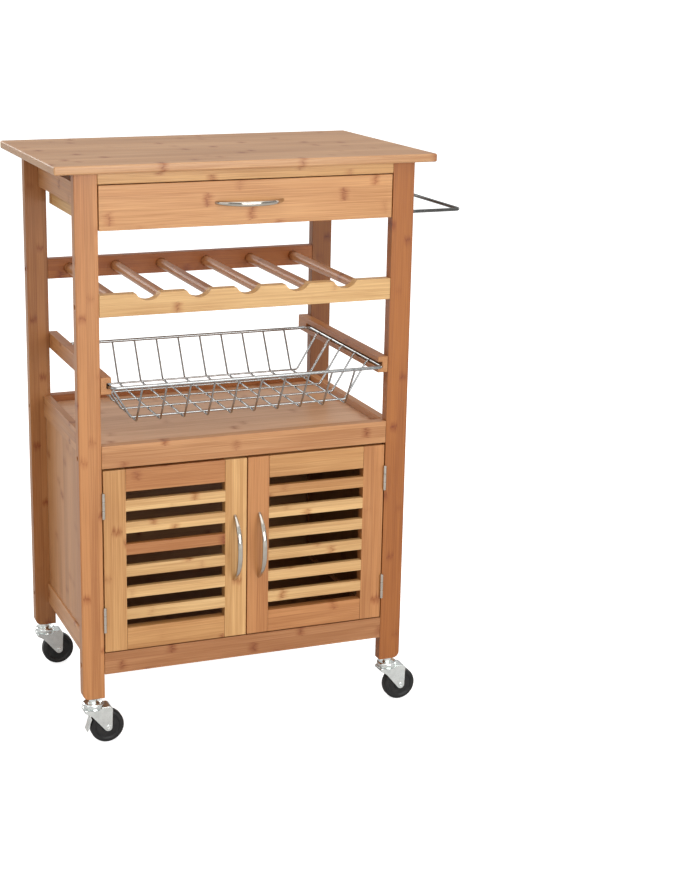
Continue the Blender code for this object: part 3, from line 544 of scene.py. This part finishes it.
satin_nickel = plated("satin_nickel", (0.58, 0.53, 0.46), (0.50, 0.46, 0.39), 0.13)
HANDLE_WIDTH = 0.78      # of the plain handle's width, at the middle
HANDLE_FOOT = 2.6 * MILLIMETRE
HANDLE_FLATNESS = 0.72   # thickness for width


def bow(t):
    """How far the handle stands out, from 0 at its feet, where t is -1 or 1, to 1 at its middle."""
    return 1 - abs(t) ** 2.4


def spread(t):
    """The place along the handle: its stations crowd a little towards the feet."""
    return math.copysign(abs(t) ** 0.93, t)


def rounded(share):
    """Squares a cosine or sine up a little, so that the bar's section has soft corners."""
    return math.copysign(abs(share) ** 0.8, share)


def bow_handle(name, node, body, length_axis):
    """A flat bar, widest in its middle, that bows out and comes back square to the face."""
    low, high = (Vector(corner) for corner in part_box(node))
    middle = (low + high) / 2
    along = Vector((1, 0, 0)) if length_axis == "X" else Vector((0, 0, 1))
    across = along.cross(Vector((0, 1, 0)))
    length = (high - low).dot(along)
    wide = abs((high - low).dot(across)) / 2 * HANDLE_WIDTH
    half = length / 2 - HANDLE_FOOT
    foot_y = high.y
    stand = foot_y - low.y - wide * HANDLE_FLATNESS
    stations, sides = 48, 28
    bar = bmesh.new()
    rings = []
    for i in range(stations + 1):
        t = -1 + 2 * i / stations
        rise = bow(t)
        ahead = min(1, t + 0.02)
        behind = max(-1, t - 0.02)
        slope = (bow(ahead) - bow(behind)) * stand
        run = (spread(ahead) - spread(behind)) * half
        heading = (along * run + Vector((0, -slope, 0))).normalized()
        square = max(0.0, (abs(t) - 0.93) / 0.07)
        heading = heading.lerp(Vector((0, math.copysign(1, t), 0)), square).normalized()
        out = across.cross(heading).normalized()
        radius = HANDLE_FOOT + (wide - HANDLE_FOOT) * rise
        thick = radius * HANDLE_FLATNESS + HANDLE_FOOT * (1 - HANDLE_FLATNESS) * (1 - rise)
        centre = Vector((middle.x, foot_y - rise * stand, middle.z)) + along * spread(t) * half
        ring = []
        for k in range(sides):
            turn = 2 * math.pi * k / sides
            wide_side = across * rounded(math.cos(turn)) * radius
            thin_side = out * rounded(math.sin(turn)) * thick
            ring.append(bar.verts.new(centre + wide_side + thin_side))
        rings.append(ring)
    skin(bar, rings)
    handle = new_piece(name, mesh_of(name, bar, satin_nickel))
    even_shading(handle, 50)
    return show(handle, body, "satin_nickel", node)


bow_handle("drawer_bow_handle", "drawer_handle", "drawer", "X")


# Bottle rack. A scalloped front rail and a straight rear rail, with six round dowels let into
# both. Bottles lie between the dowels with their necks in the dips.
RACK_STRIP = 0.0155
DOWEL_STRIP = 0.03
rack_board = bamboo("X", "Z", "pale", RACK_STRIP)
eased_copy("rack_front_rail", "frame", "pale_bamboo", rack_board, 1.0 * MILLIMETRE)


def dowels_tree():
    """A row of round rods along Y, with one on each point that it is given."""
    tree, given, result = node_tree(
        "dowels",
        [("Radius", "Float", 0.0075), ("Length", "Float", 0.3), ("Finish", "Material", None)],
    )
    rod = add_node(tree, "GeometryNodeMeshCylinder", {
        "Vertices": 40, "Radius": given["Radius"], "Depth": given["Length"],
    })
    copies = add_node(tree, "GeometryNodeInstanceOnPoints", {
        "Points": given["Geometry"], "Instance": rod.outputs["Mesh"],
        "Rotation": (math.pi / 2, 0, 0),
    })
    tree.links.new(finished(tree, copies.outputs[0], given["Finish"]), result[0])
    return tree


dowel_nodes = [f"rack_dowel_{i + 1}" for i in range(6)]
dowel_points = []
for dowel in dowel_nodes:
    low, high = (Vector(corner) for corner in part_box(dowel))
    dowel_points.append((low + high) / 2)
dowels = grow("rack_dowels", dowel_points, [], dowels_tree(), {
    "Radius": (high.z - low.z) / 2, "Length": high.y - low.y,
    "Finish": bamboo("Y", "X", "honey", DOWEL_STRIP),
})
even_shading(dowels)
show(dowels, "frame", "bamboo", *dowel_nodes)


# Basket. Round wires, bent and spot-welded to each other and to a heavier rim, then chromed.
# The rim's sides slide in the grooves of two bamboo rails on the inner faces of the legs.
BASKET_RAIL_STRIP = 0.0125
for rail in ("basket_rail_left", "basket_rail_right"):
    eased_copy(rail, "frame", "pale_bamboo", bamboo("Y", "Z", "orange", BASKET_RAIL_STRIP))

# This chrome is a little darker than bright chrome, partly as a painted dark reflection.
chrome = plated("chrome", (0.44, 0.45, 0.45), (0.34, 0.35, 0.35), 0.18,
                streak_scale=400.0, streak_height=0.000005)


def bent_wire_tree():
    """Turns every run of edges into round wire, with its corners bent to a radius."""
    tree, given, result = node_tree("bent_wire", [
        ("Wire Radius", "Float", 0.0015), ("Bend Radius", "Float", 0.006),
        ("Finish", "Material", None),
    ])
    lines = add_node(tree, "GeometryNodeMeshToCurve", {"Mesh": given["Geometry"]})
    bent = add_node(tree, "GeometryNodeFilletCurve", {
        "Curve": lines.outputs[0], "Count": 7, "Radius": given["Bend Radius"],
        "Limit Radius": True,
    }, mode="POLY")
    ring = add_node(tree, "GeometryNodeCurvePrimitiveCircle", {
        "Resolution": 16, "Radius": given["Wire Radius"],
    })
    wire = add_node(tree, "GeometryNodeCurveToMesh", {
        "Curve": bent.outputs[0], "Profile Curve": ring.outputs[0], "Fill Caps": True,
    })
    smooth = add_node(tree, "GeometryNodeSetShadeSmooth", {0: wire.outputs[0]})
    tree.links.new(finished(tree, smooth.outputs[0], given["Finish"]), result[0])
    return tree


bent_wire = bent_wire_tree()


def wires(name, paths, radius, bend, finish, closed=False):
    """Bent wires along paths of points, as one mesh."""
    points, edges = [], []
    for path in paths:
        start = len(points)
        points += path
        edges += [(start + i, start + i + 1) for i in range(len(path) - 1)]
        if closed:
            edges.append((start + len(path) - 1, start))
    values = {"Wire Radius": radius, "Bend Radius": bend, "Finish": finish}
    return grow(name, points, edges, bent_wire, values)


# The wires' radii, the flat floor's half sizes, the wires' number and spacing, and how far the
# long wires run level from the rim before they drop.
RIM_WIRE = 2.5 * MILLIMETRE
THIN_WIRE = 1.5 * MILLIMETRE
FLOOR_HALF_WIDTH = 166 * MILLIMETRE
FLOOR_HALF_DEPTH = 111 * MILLIMETRE
CROSS_WIRES, CROSS_PITCH = 10, 35.8 * MILLIMETRE
LONG_WIRES, LONG_SPREAD = 5, 12 * MILLIMETRE
LEAD_IN = 6.5 * MILLIMETRE
low, high = (Vector(corner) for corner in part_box("wire_basket"))
basket_middle = (low + high) / 2
rim_z = high.z - RIM_WIRE
cross_z = rim_z - 1.0 * MILLIMETRE
floor_z = low.z + THIN_WIRE
long_z = floor_z + 1.9 * THIN_WIRE
rim_x, rim_y = (high.x - low.x) / 2 - RIM_WIRE, (high.y - low.y) / 2 - RIM_WIRE


def basket_point(x, y, z):
    return (basket_middle.x + x, basket_middle.y + y, z)


cross_paths = []
for i in range(CROSS_WIRES):
    x = (i - (CROSS_WIRES - 1) / 2) * CROSS_PITCH
    cross_paths.append([
        basket_point(x, -rim_y, cross_z), basket_point(x, -FLOOR_HALF_DEPTH, floor_z),
        basket_point(x, FLOOR_HALF_DEPTH, floor_z), basket_point(x, rim_y, cross_z),
    ])
long_paths = []
for i in range(LONG_WIRES):
    y = ((i + 0.5) / (LONG_WIRES / 2) - 1) * (FLOOR_HALF_DEPTH + LONG_SPREAD)
    half = [(-rim_x, rim_z), (-rim_x + LEAD_IN, rim_z), (-FLOOR_HALF_WIDTH, long_z)]
    path = half + [(-x, z) for x, z in reversed(half)]
    long_paths.append([basket_point(x, y, z) for x, z in path])
rim_path = [basket_point(x, y, rim_z) for x, y in
            ((rim_x, rim_y), (-rim_x, rim_y), (-rim_x, -rim_y), (rim_x, -rim_y))]
cross_wires = wires("basket_cross_wires", cross_paths, THIN_WIRE, 7 * MILLIMETRE, chrome)
long_wires = wires("basket_long_wires", long_paths, THIN_WIRE, 4 * MILLIMETRE, chrome)
rim = wires("basket_rim", [rim_path], RIM_WIRE, 10 * MILLIMETRE, chrome, closed=True)
show(cross_wires, "basket", "chrome", "wire_basket")
show(long_wires, "basket", "chrome")
show(rim, "basket", "chrome")


# Towel rail. A chromed rod bent to a U and pushed into the outer faces of the right-hand legs,
# with a thin washer round each end.
low, high = (Vector(corner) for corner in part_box("towel_rail"))
rod = (high.z - low.z) / 2
bar_x, rail_z = high.x - rod, (low.z + high.z) / 2
near_y, far_y = low.y + rod, high.y - rod
towel_path = [(low.x, near_y, rail_z), (bar_x, near_y, rail_z), (bar_x, far_y, rail_z),
              (low.x, far_y, rail_z)]
# The rod's and washers' chrome is painted near black: a painted dark reflection on plain chrome.
dark_chrome = plated("dark_chrome", (0.16, 0.16, 0.155), (0.10, 0.10, 0.095), 0.14,
                     streak_scale=400.0, streak_height=0.000005)
towel_rail = wires("towel_rail_rod", [towel_path], rod, 8 * MILLIMETRE, dark_chrome)
show(towel_rail, "frame", "chrome", "towel_rail")


def turned_ring(target, profile, centre, axis, sides=48):
    """Adds a closed profile of (radius, distance) points, spun about an axis, to a bmesh."""
    rings = []
    for k in range(sides):
        turn = 2 * math.pi * k / sides
        ring = []
        for radius, distance in profile:
            u, v = radius * math.cos(turn), radius * math.sin(turn)
            spot = {"X": (distance, u, v), "Y": (u, distance, v), "Z": (u, v, distance)}[axis]
            ring.append(target.verts.new(Vector(centre) + Vector(spot) * MILLIMETRE))
        rings.append(ring)
    for k in range(sides):
        one, two = rings[k], rings[(k + 1) % sides]
        for i in range(len(profile)):
            j = (i + 1) % len(profile)
            target.faces.new((one[i], one[j], two[j], two[i]))


def metal_piece(name, shape, material, angle=38):
    """Closes a bmesh into a shaded piece of metal or rubber."""
    bmesh.ops.remove_doubles(shape, verts=shape.verts, dist=1e-7)
    bmesh.ops.dissolve_degenerate(shape, edges=shape.edges, dist=1e-7)
    bmesh.ops.recalc_face_normals(shape, faces=shape.faces)
    return even_shading(new_piece(name, mesh_of(name, shape, material)), angle)


WASHER = [(2.6, 0.05), (4.6, 0.05), (4.6, 0.4), (4.1, 0.9), (2.6, 1.1)]
washers = bmesh.new()
for y in (near_y, far_y):
    turned_ring(washers, WASHER, (low.x, y, rail_z), "X", 32)
show(metal_piece("towel_rail_washers", washers, dark_chrome), "frame", "chrome")


# Doors. Two stiles and two rails round an opening, with six slats let in flush with the front.
# The boards are glued, and their corners are butted.
DOOR_EASE = 0.8 * MILLIMETRE
BOARD, BOARD_STRIP = 33.5 * MILLIMETRE, 0.0168
SLATS, SLAT_PITCH = 6, 33 * MILLIMETRE
SLAT_HEIGHT, SLAT_THICK, SLAT_STRIP = 16.5 * MILLIMETRE, 9 * MILLIMETRE, 0.0165
SLAT_LET_IN = 0.5 * MILLIMETRE
JOINT_GAP = 0.1 * MILLIMETRE


def slats_tree():
    """A stack of flat slats, upwards from the point that it is given, one in another tone."""
    tree, given, result = node_tree("door_slats", [
        ("Count", "Int", 6), ("Pitch", "Float", 0.033), ("Size", "Vector", None),
        ("Finish", "Material", None), ("Odd One", "Float", 0.0), ("Odd Finish", "Material", None),
    ])
    rise = add_node(tree, "ShaderNodeCombineXYZ", {2: given["Pitch"]})
    line = add_node(tree, "GeometryNodeMeshLine", {
        "Count": given["Count"], "Offset": rise.outputs[0],
    })
    slat = add_node(tree, "GeometryNodeMeshCube", {"Size": given["Size"]})
    stack = add_node(tree, "GeometryNodeInstanceOnPoints", {
        "Points": line.outputs[0], "Instance": slat.outputs["Mesh"],
    })
    whole = add_node(tree, "GeometryNodeRealizeInstances", {0: stack.outputs[0]})
    placed = add_node(tree, "GeometryNodeInstanceOnPoints", {
        "Points": given["Geometry"], "Instance": whole.outputs[0],
    })
    alike = finished(tree, placed.outputs[0], given["Finish"])
    faces_each = 6
    face = tree.nodes.new("GeometryNodeInputIndex").outputs[0]
    number = maths(tree, "FLOOR", maths(tree, "DIVIDE", face, faces_each))
    odd = maths(tree, "COMPARE", number, given["Odd One"], 0.25)
    painted = add_node(tree, "GeometryNodeSetMaterial", {
        0: alike, "Selection": odd, "Material": given["Odd Finish"],
    })
    tree.links.new(painted.outputs[0], result[0])
    return tree


def add_block(shape, low, high):
    """Adds a box between two corners to a bmesh, and gives its points."""
    low, high = Vector(low), Vector(high)
    place = Matrix.Translation((low + high) / 2) @ Matrix.Diagonal((*(high - low), 1))
    return bmesh.ops.create_cube(shape, size=1, matrix=place)["verts"]


def glued_boards(name, boards):
    """Boards given as (low corner, high corner, material), as one piece with eased edges."""
    shape = bmesh.new()
    finishes = []
    for low, high, material in boards:
        if material not in finishes:
            finishes.append(material)
        board = add_block(shape, low, high)
        for face in {face for point in board for face in point.link_faces}:
            face.material_index = finishes.index(material)
    return ease_edges(new_piece(name, mesh_of(name, shape, *finishes)), DOOR_EASE)


stack_tree = slats_tree()
door_tones = {
    "left": {"stiles": ("wheat", "straw"), "rails": ("wheat", "orange"), "odd": ("orange", 3)},
    "right": {"stiles": ("orange", "orange"), "rails": ("orange", "wheat"), "odd": ("wheat", 5)},
}
for side, door_tone in door_tones.items():
    body = f"door_{side}"
    low, high = (Vector(corner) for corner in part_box(body))
    left, right = low.x + BOARD, high.x - BOARD
    stiles = [bamboo("Z", "X", tone, BOARD_STRIP) for tone in door_tone["stiles"]]
    cross, top_cross = (bamboo("X", "Z", tone, BOARD_STRIP) for tone in door_tone["rails"])
    odd_tone, odd_one = door_tone["odd"]
    boards = [
        (low, (left - JOINT_GAP, high.y, high.z), stiles[0]),
        ((right + JOINT_GAP, low.y, low.z), high, stiles[1]),
        ((left, low.y + JOINT_GAP, low.z), (right, high.y - JOINT_GAP, low.z + BOARD), cross),
        ((left, low.y + JOINT_GAP, high.z - BOARD), (right, high.y - JOINT_GAP, high.z), top_cross),
    ]
    door = glued_boards(f"door_{side}_boards", boards)
    show(door, body, "pale_bamboo", body)
    middle = (low + high) / 2
    first = middle.z - (SLATS - 1) / 2 * SLAT_PITCH
    start = (middle.x, low.y + SLAT_THICK / 2 + JOINT_GAP, first)
    size = (right - left + 2 * SLAT_LET_IN, SLAT_THICK, SLAT_HEIGHT)
    slats = grow(f"door_{side}_slats", [start], [], stack_tree, {
        "Count": SLATS, "Pitch": SLAT_PITCH, "Size": size,
        "Finish": bamboo("X", "Z", "pale", SLAT_STRIP),
        "Odd One": float(odd_one), "Odd Finish": bamboo("X", "Z", odd_tone, SLAT_STRIP),
    })
    ease_edges(slats, DOOR_EASE)
    show(slats, body, "pale_bamboo")
    bow_handle(f"door_{side}_bow_handle", f"door_handle_{side}", body, "Z")


# Hinges. Butt hinges of thin steel: one leaf on the leg with the end knuckles and the pin, and
# one leaf in the door's edge with the middle knuckle. Each leaf has two flush screws.

# In millimetres from the pin: each leaf's two faces, outwards, and the heights of its knuckles,
# and then how far behind the pin its plate, its screws and the arms of its knuckles are.
HINGE_LEAVES = {
    "leg": ((0.15, 0.85), ((-19.0, -6.5), (6.5, 19.0))),
    "door": ((-1.05, -0.35), ((-6.2, 6.2),)),
}
PLATE_DEPTHS = (2.9, 16.7)
SCREW_DEPTH, SCREW_HEIGHTS = 10.5, (-12.0, 12.0)
ARM_DEPTHS = (1.3, 4.5)


def hinge_plate(shape, pin, faces, depths, heights):
    """Adds a flat piece of a leaf between two faces, two depths and two heights from the pin."""
    left, right = sorted(faces)
    low = Vector((left, depths[0], heights[0]))
    high = Vector((right, depths[1], heights[1]))
    add_block(shape, pin + low * MILLIMETRE, pin + high * MILLIMETRE)


def hinge_leaf(pin, outward, leaf, half):
    """One leaf round its pin: knuckles, arms, plate and screws, and the pin on the leg's leaf."""
    (near, far), knuckles = HINGE_LEAVES[leaf]
    shape = bmesh.new()
    for bottom, top in knuckles:
        barrel = [(1.3, bottom), (2.25, bottom), (2.4, bottom + 0.15), (2.4, top - 0.15),
                  (2.25, top), (1.3, top)]
        turned_ring(shape, barrel, pin, "Z", 32)
        arm_faces = (outward * (near + 0.1), outward * (far - 0.1))
        hinge_plate(shape, pin, arm_faces, ARM_DEPTHS, (bottom + 0.1, top - 0.1))
    hinge_plate(shape, pin, (outward * near, outward * far), PLATE_DEPTHS, (-half, half))
    for height in SCREW_HEIGHTS:
        screw = [(0.0, near - 0.12), (0.9, near - 0.12), (1.9, near + 0.1),
                 (1.9, far - 0.1), (0.9, far + 0.12), (0.0, far + 0.12)]
        screw = [(radius, outward * distance) for radius, distance in screw]
        centre = pin + Vector((0, SCREW_DEPTH, height)) * MILLIMETRE
        turned_ring(shape, screw, centre, "X", 20)
    if leaf == "leg":
        rod = [(0.0, -half - 0.5), (1.0, -half - 0.4), (1.5, -half - 0.02), (1.1, -half + 0.1),
               (1.1, half - 0.1), (1.5, half + 0.02), (1.0, half + 0.4), (0.0, half + 0.5)]
        turned_ring(shape, rod, pin, "Z", 24)
    return shape


hinge_joints = {joint["child"]: Vector(joint["pos_m"]) for joint in frame["joints"]
                if joint["child"].startswith("door")}
for level in ("lower", "upper"):
    for side, outward in (("left", -1), ("right", 1)):
        for leaf in HINGE_LEAVES:
            node = f"hinge_{level}_{side}_{leaf}_leaf"
            low, high = (Vector(corner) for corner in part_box(node))
            pin = hinge_joints[f"door_{side}"].copy()
            pin.z = (low.z + high.z) / 2
            shape = hinge_leaf(pin, outward, leaf, (high.z - low.z) / 2 / MILLIMETRE)
            metal = metal_piece(f"{node}_steel", shape, satin_nickel)
            show(metal, "frame" if leaf == "leg" else f"door_{side}", "satin_nickel", node)


# Casters. The stem turns in the leg. A zinc-plated crown hangs from a ball race and is pressed
# down into two cheeks, which hold a riveted axle with a black moulded wheel.
zinc = plated("zinc", (0.90, 0.94, 0.92), (0.78, 0.82, 0.80), 0.18,
              streak_scale=300.0, streak_height=0.00001)


def moulded_rubber():
    """Black moulded rubber: a fine grain, a little dust in the hollows of the noise."""
    material = bpy.data.materials.new("black_rubber")
    material.use_nodes = True
    tree = material.node_tree
    shader = tree.nodes["Principled BSDF"]
    source = tree.nodes.new("ShaderNodeTexCoord").outputs["Object"]
    grain = noise(tree, source, 1400.0, 2.0)
    dust = remap(tree, noise(tree, source, 90.0, 3.0), 0.48, 0.75, 0.0, 1.0)
    colours = blend_colour(tree, dust, (0.007, 0.007, 0.007, 1), (0.018, 0.017, 0.016, 1))
    tree.links.new(colours, shader.inputs["Base Color"])
    tree.links.new(remap(tree, dust, 0.0, 1.0, 0.34, 0.55), shader.inputs["Roughness"])
    bump = add_node(tree, "ShaderNodeBump", {"Height": grain, "Strength": 0.2, "Distance": 0.0001})
    tree.links.new(bump.outputs[0], shader.inputs["Normal"])
    return material


black_rubber = moulded_rubber()
CHEEK_OUTER, CHEEK_INNER = 11.5, 9.5


def round_corner(centre, radius, start, end, steps):
    """Points on an arc from one angle in degrees to another."""
    turns = [math.radians(start + (end - start) * i / steps) for i in range(steps + 1)]
    return [(centre[0] + radius * math.cos(a), centre[1] + radius * math.sin(a)) for a in turns]


def fork_outline(trail, axle_height):
    """The cheek from the side, from the crown's front edge round the axle to its rear lip."""
    points = [(-12.0, 56.2), (-14.2, 55.2), (-15.0, 53.4), (-14.6, 51.8)]
    points += [(-8.0, 48.0), (-4.6, 45.4), (-2.0, 42.6)]
    points += round_corner((trail, axle_height), 6.2, 213, 357, 14)
    points += [(27.0, 48.0)] + round_corner((21.0, 52.0), 6.4, 0, 90, 8)
    return points + [(10.0, 58.2), (0.0, 56.6)]


def upright_wall(name, outline, start, end, stem, material):
    """An outline of (x, height) from the stem in millimetres, made solid between two depths."""
    shape = bmesh.new()
    ends = []
    for y in (start, end):
        ends.append([
            shape.verts.new((stem.x + x * MILLIMETRE, stem.y + y * MILLIMETRE, z * MILLIMETRE))
            for x, z in outline
        ])
    skin(shape, ends)
    return new_piece(name, mesh_of(name, shape, material))


# Outlines in millimetres: (radius, height) of the race, (radius, depth) of a rivet and of the
# wheel's one side, and (x, height) of the room between the cheeks.
RACE = [
    (4.0, 55.0), (14.5, 55.0), (15.8, 55.4), (16.3, 56.4), (16.0, 57.6), (15.0, 58.0),
    (14.4, 58.3), (14.4, 59.2), (15.2, 59.5), (15.6, 60.6), (15.5, 62.6), (14.9, 63.8),
    (13.6, 64.5), (12.4, 64.0), (10.2, 62.6), (8.4, 62.2), (6.9, 62.8), (6.4, 64.0),
    (6.2, 70.2), (4.0, 70.4), (4.0, 97.0), (3.0, 98.0), (0.0, 98.0), (0.0, 55.0),
]
RIVET = [(0.0, 9.0), (2.4, 9.0), (2.4, 11.4), (3.5, 11.4), (3.5, 11.9), (3.0, 12.5),
         (1.7, 12.7), (1.3, 12.2), (0.0, 12.0)]
AXLE = [(0.0, -9.2), (2.4, -9.2), (2.4, 9.2), (0.0, 9.2)]
WHEEL_SIDE = [(3.0, 8.5), (7.6, 8.5), (8.4, 8.1), (8.8, 7.2), (9.4, 6.6), (17.2, 6.4),
              (17.9, 6.8), (18.4, 7.8), (19.2, 8.2), (21.4, 8.3), (22.8, 8.0), (24.2, 7.1),
              (25.1, 5.6), (25.5, 3.6)]
WHEEL = [(radius, -depth) for radius, depth in WHEEL_SIDE] + list(reversed(WHEEL_SIDE))
HOLLOW = [(-40.0, -5.0), (50.0, -5.0), (50.0, 46.0), (23.0, 52.0), (18.0, 54.5), (-40.0, 52.5)]
caster_joints = {joint["child"]: Vector(joint["pos_m"]) for joint in frame["joints"]
                 if joint["child"].startswith(("fork", "wheel"))}
for place in ("front_left", "front_right", "rear_left", "rear_right"):
    stem, axle = caster_joints[f"fork_{place}"], caster_joints[f"wheel_{place}"]
    ground = Vector((stem.x, stem.y, 0))
    trail, axle_height = (axle.x - stem.x) / MILLIMETRE, axle.z / MILLIMETRE
    fork = upright_wall(f"caster_{place}_crown", fork_outline(trail, axle_height),
                        -CHEEK_OUTER, CHEEK_OUTER, stem, zinc)
    slot = upright_wall("slot", HOLLOW, -CHEEK_INNER, CHEEK_INNER, stem, zinc)
    cut = fork.modifiers.new("slot", "BOOLEAN")
    cut.operation, cut.solver, cut.object = "DIFFERENCE", "EXACT", slot
    plain_piece(fork)
    bpy.data.objects.remove(slot)
    ease_edges(fork, 0.7 * MILLIMETRE, 3)
    show(fork, f"fork_{place}", "zinc", f"caster_fork_{place}")

    race = bmesh.new()
    turned_ring(race, RACE, ground, "Z", 56)
    for toward in (-1, 1):
        rivet = [(radius, toward * depth) for radius, depth in RIVET]
        turned_ring(race, rivet, axle, "Y", 28)
    turned_ring(race, AXLE, axle, "Y", 28)
    show(metal_piece(f"caster_{place}_race", race, zinc), f"fork_{place}", "zinc")

    wheel = bmesh.new()
    turned_ring(wheel, WHEEL, axle, "Y", 80)
    show(metal_piece(f"caster_{place}_wheel", wheel, black_rubber), f"wheel_{place}",
         "black_rubber", f"caster_wheel_{place}")


# Brake. A pressed steel lever in front of the front left wheel, hung from a pin between the
# cheeks and zinc-plated with them. Its foot is pushed against the wheel.
eased_copy("brake_lever", "brake", "zinc", zinc, 0.4 * MILLIMETRE)


# Room. A plain pale floor and a pale sky, which are both seen as white. Five large soft lights
# stand round the cart: overhead, front, left, right and back.
bpy.context.scene.view_settings.view_transform = "Standard"
world = bpy.data.worlds.new("room")
bpy.context.scene.world = world
world.use_nodes = True
sky = world.node_tree
direction = sky.nodes.new("ShaderNodeTexCoord").outputs["Generated"]
upwards = add_node(sky, "ShaderNodeSeparateXYZ", {0: direction}).outputs[2]
glow = remap(sky, upwards, 0.02, 0.60, 0.18, 0.80)
seen_directly = sky.nodes.new("ShaderNodeLightPath").outputs["Is Camera Ray"]
glow = maths(sky, "MAXIMUM", glow, seen_directly)
sky.links.new(glow, sky.nodes["Background"].inputs["Strength"])
sky.nodes["Background"].inputs["Color"].default_value = (1, 1, 1, 1)

camera_data = bpy.data.cameras.new("camera")
camera = bpy.data.objects.new("camera", camera_data)
bpy.context.scene.collection.objects.link(camera)
bpy.context.scene.camera = camera
camera_data.sensor_width = 36
camera_data.lens = 70.36
camera_data.shift_x, camera_data.shift_y = 0.1270, -0.0255
# From the worktop's middle, in metres. The camera looks to the right and down.
CAMERA_ASIDE, CAMERA_AHEAD, CAMERA_HEIGHT = -0.8061, -2.3834, 1.1259
YAW, PITCH, ROLL = (math.radians(angle) for angle in (19.636, 15.141, 0.381))
heading = Vector((
    math.sin(YAW) * math.cos(PITCH), math.cos(YAW) * math.cos(PITCH), -math.sin(PITCH),
))
level_right = Vector((math.cos(YAW), -math.sin(YAW), 0))
level_up = level_right.cross(heading)
camera_x = level_right * math.cos(ROLL) + level_up * math.sin(ROLL)
camera_y = level_up * math.cos(ROLL) - level_right * math.sin(ROLL)
camera.matrix_world = Matrix((
    (camera_x.x, camera_y.x, -heading.x, top_middle.x + CAMERA_ASIDE),
    (camera_x.y, camera_y.y, -heading.y, top_middle.y + CAMERA_AHEAD),
    (camera_x.z, camera_y.z, -heading.z, CAMERA_HEIGHT),
    (0, 0, 0, 1),
))

floor_shape = bmesh.new()
bmesh.ops.create_circle(floor_shape, cap_ends=True, segments=64, radius=60.0)
pale = bpy.data.materials.new("pale_floor")
pale.use_nodes = True
pale_shader = pale.node_tree.nodes["Principled BSDF"]
pale_shader.inputs["Base Color"].default_value = (0.66, 0.66, 0.66, 1)
pale_shader.inputs["Roughness"].default_value = 0.9
pale_shader.inputs["Emission Color"].default_value = (1, 1, 1, 1)
seen = pale.node_tree.nodes.new("ShaderNodeLightPath").outputs["Is Camera Ray"]
lift = maths(pale.node_tree, "MULTIPLY", seen, 0.80)
pale.node_tree.links.new(lift, pale_shader.inputs["Emission Strength"])
new_piece("floor", mesh_of("floor", floor_shape, pale))


def soft_light(name, place, aim, size, watts):
    """A large flat light that looks from its place at a point on the cart."""
    data = bpy.data.lights.new(name, "AREA")
    data.shape = "RECTANGLE"
    data.size, data.size_y = size
    data.energy = watts
    lamp = bpy.data.objects.new(name, data)
    lamp.location = place
    lamp.rotation_euler = (Vector(aim) - Vector(place)).to_track_quat("-Z", "Y").to_euler()
    bpy.context.scene.collection.objects.link(lamp)


soft_light("overhead", (0.2, -0.9, 3.4), (0, 0, 0.4), (2.4, 2.4), 22)
soft_light("front", (0.4, -3.5, 1.25), (0, 0, 0.45), (2.4, 1.8), 58)
soft_light("left", (-3.2, -1.4, 1.4), (0, 0, 0.45), (1.6, 1.6), 9)
soft_light("right", (3.6, 0.6, 1.5), (0, 0, 0.45), (1.8, 1.6), 20)
soft_light("back", (-1.9, 3.6, 1.7), (0, 0, 0.45), (2.0, 1.6), 34)
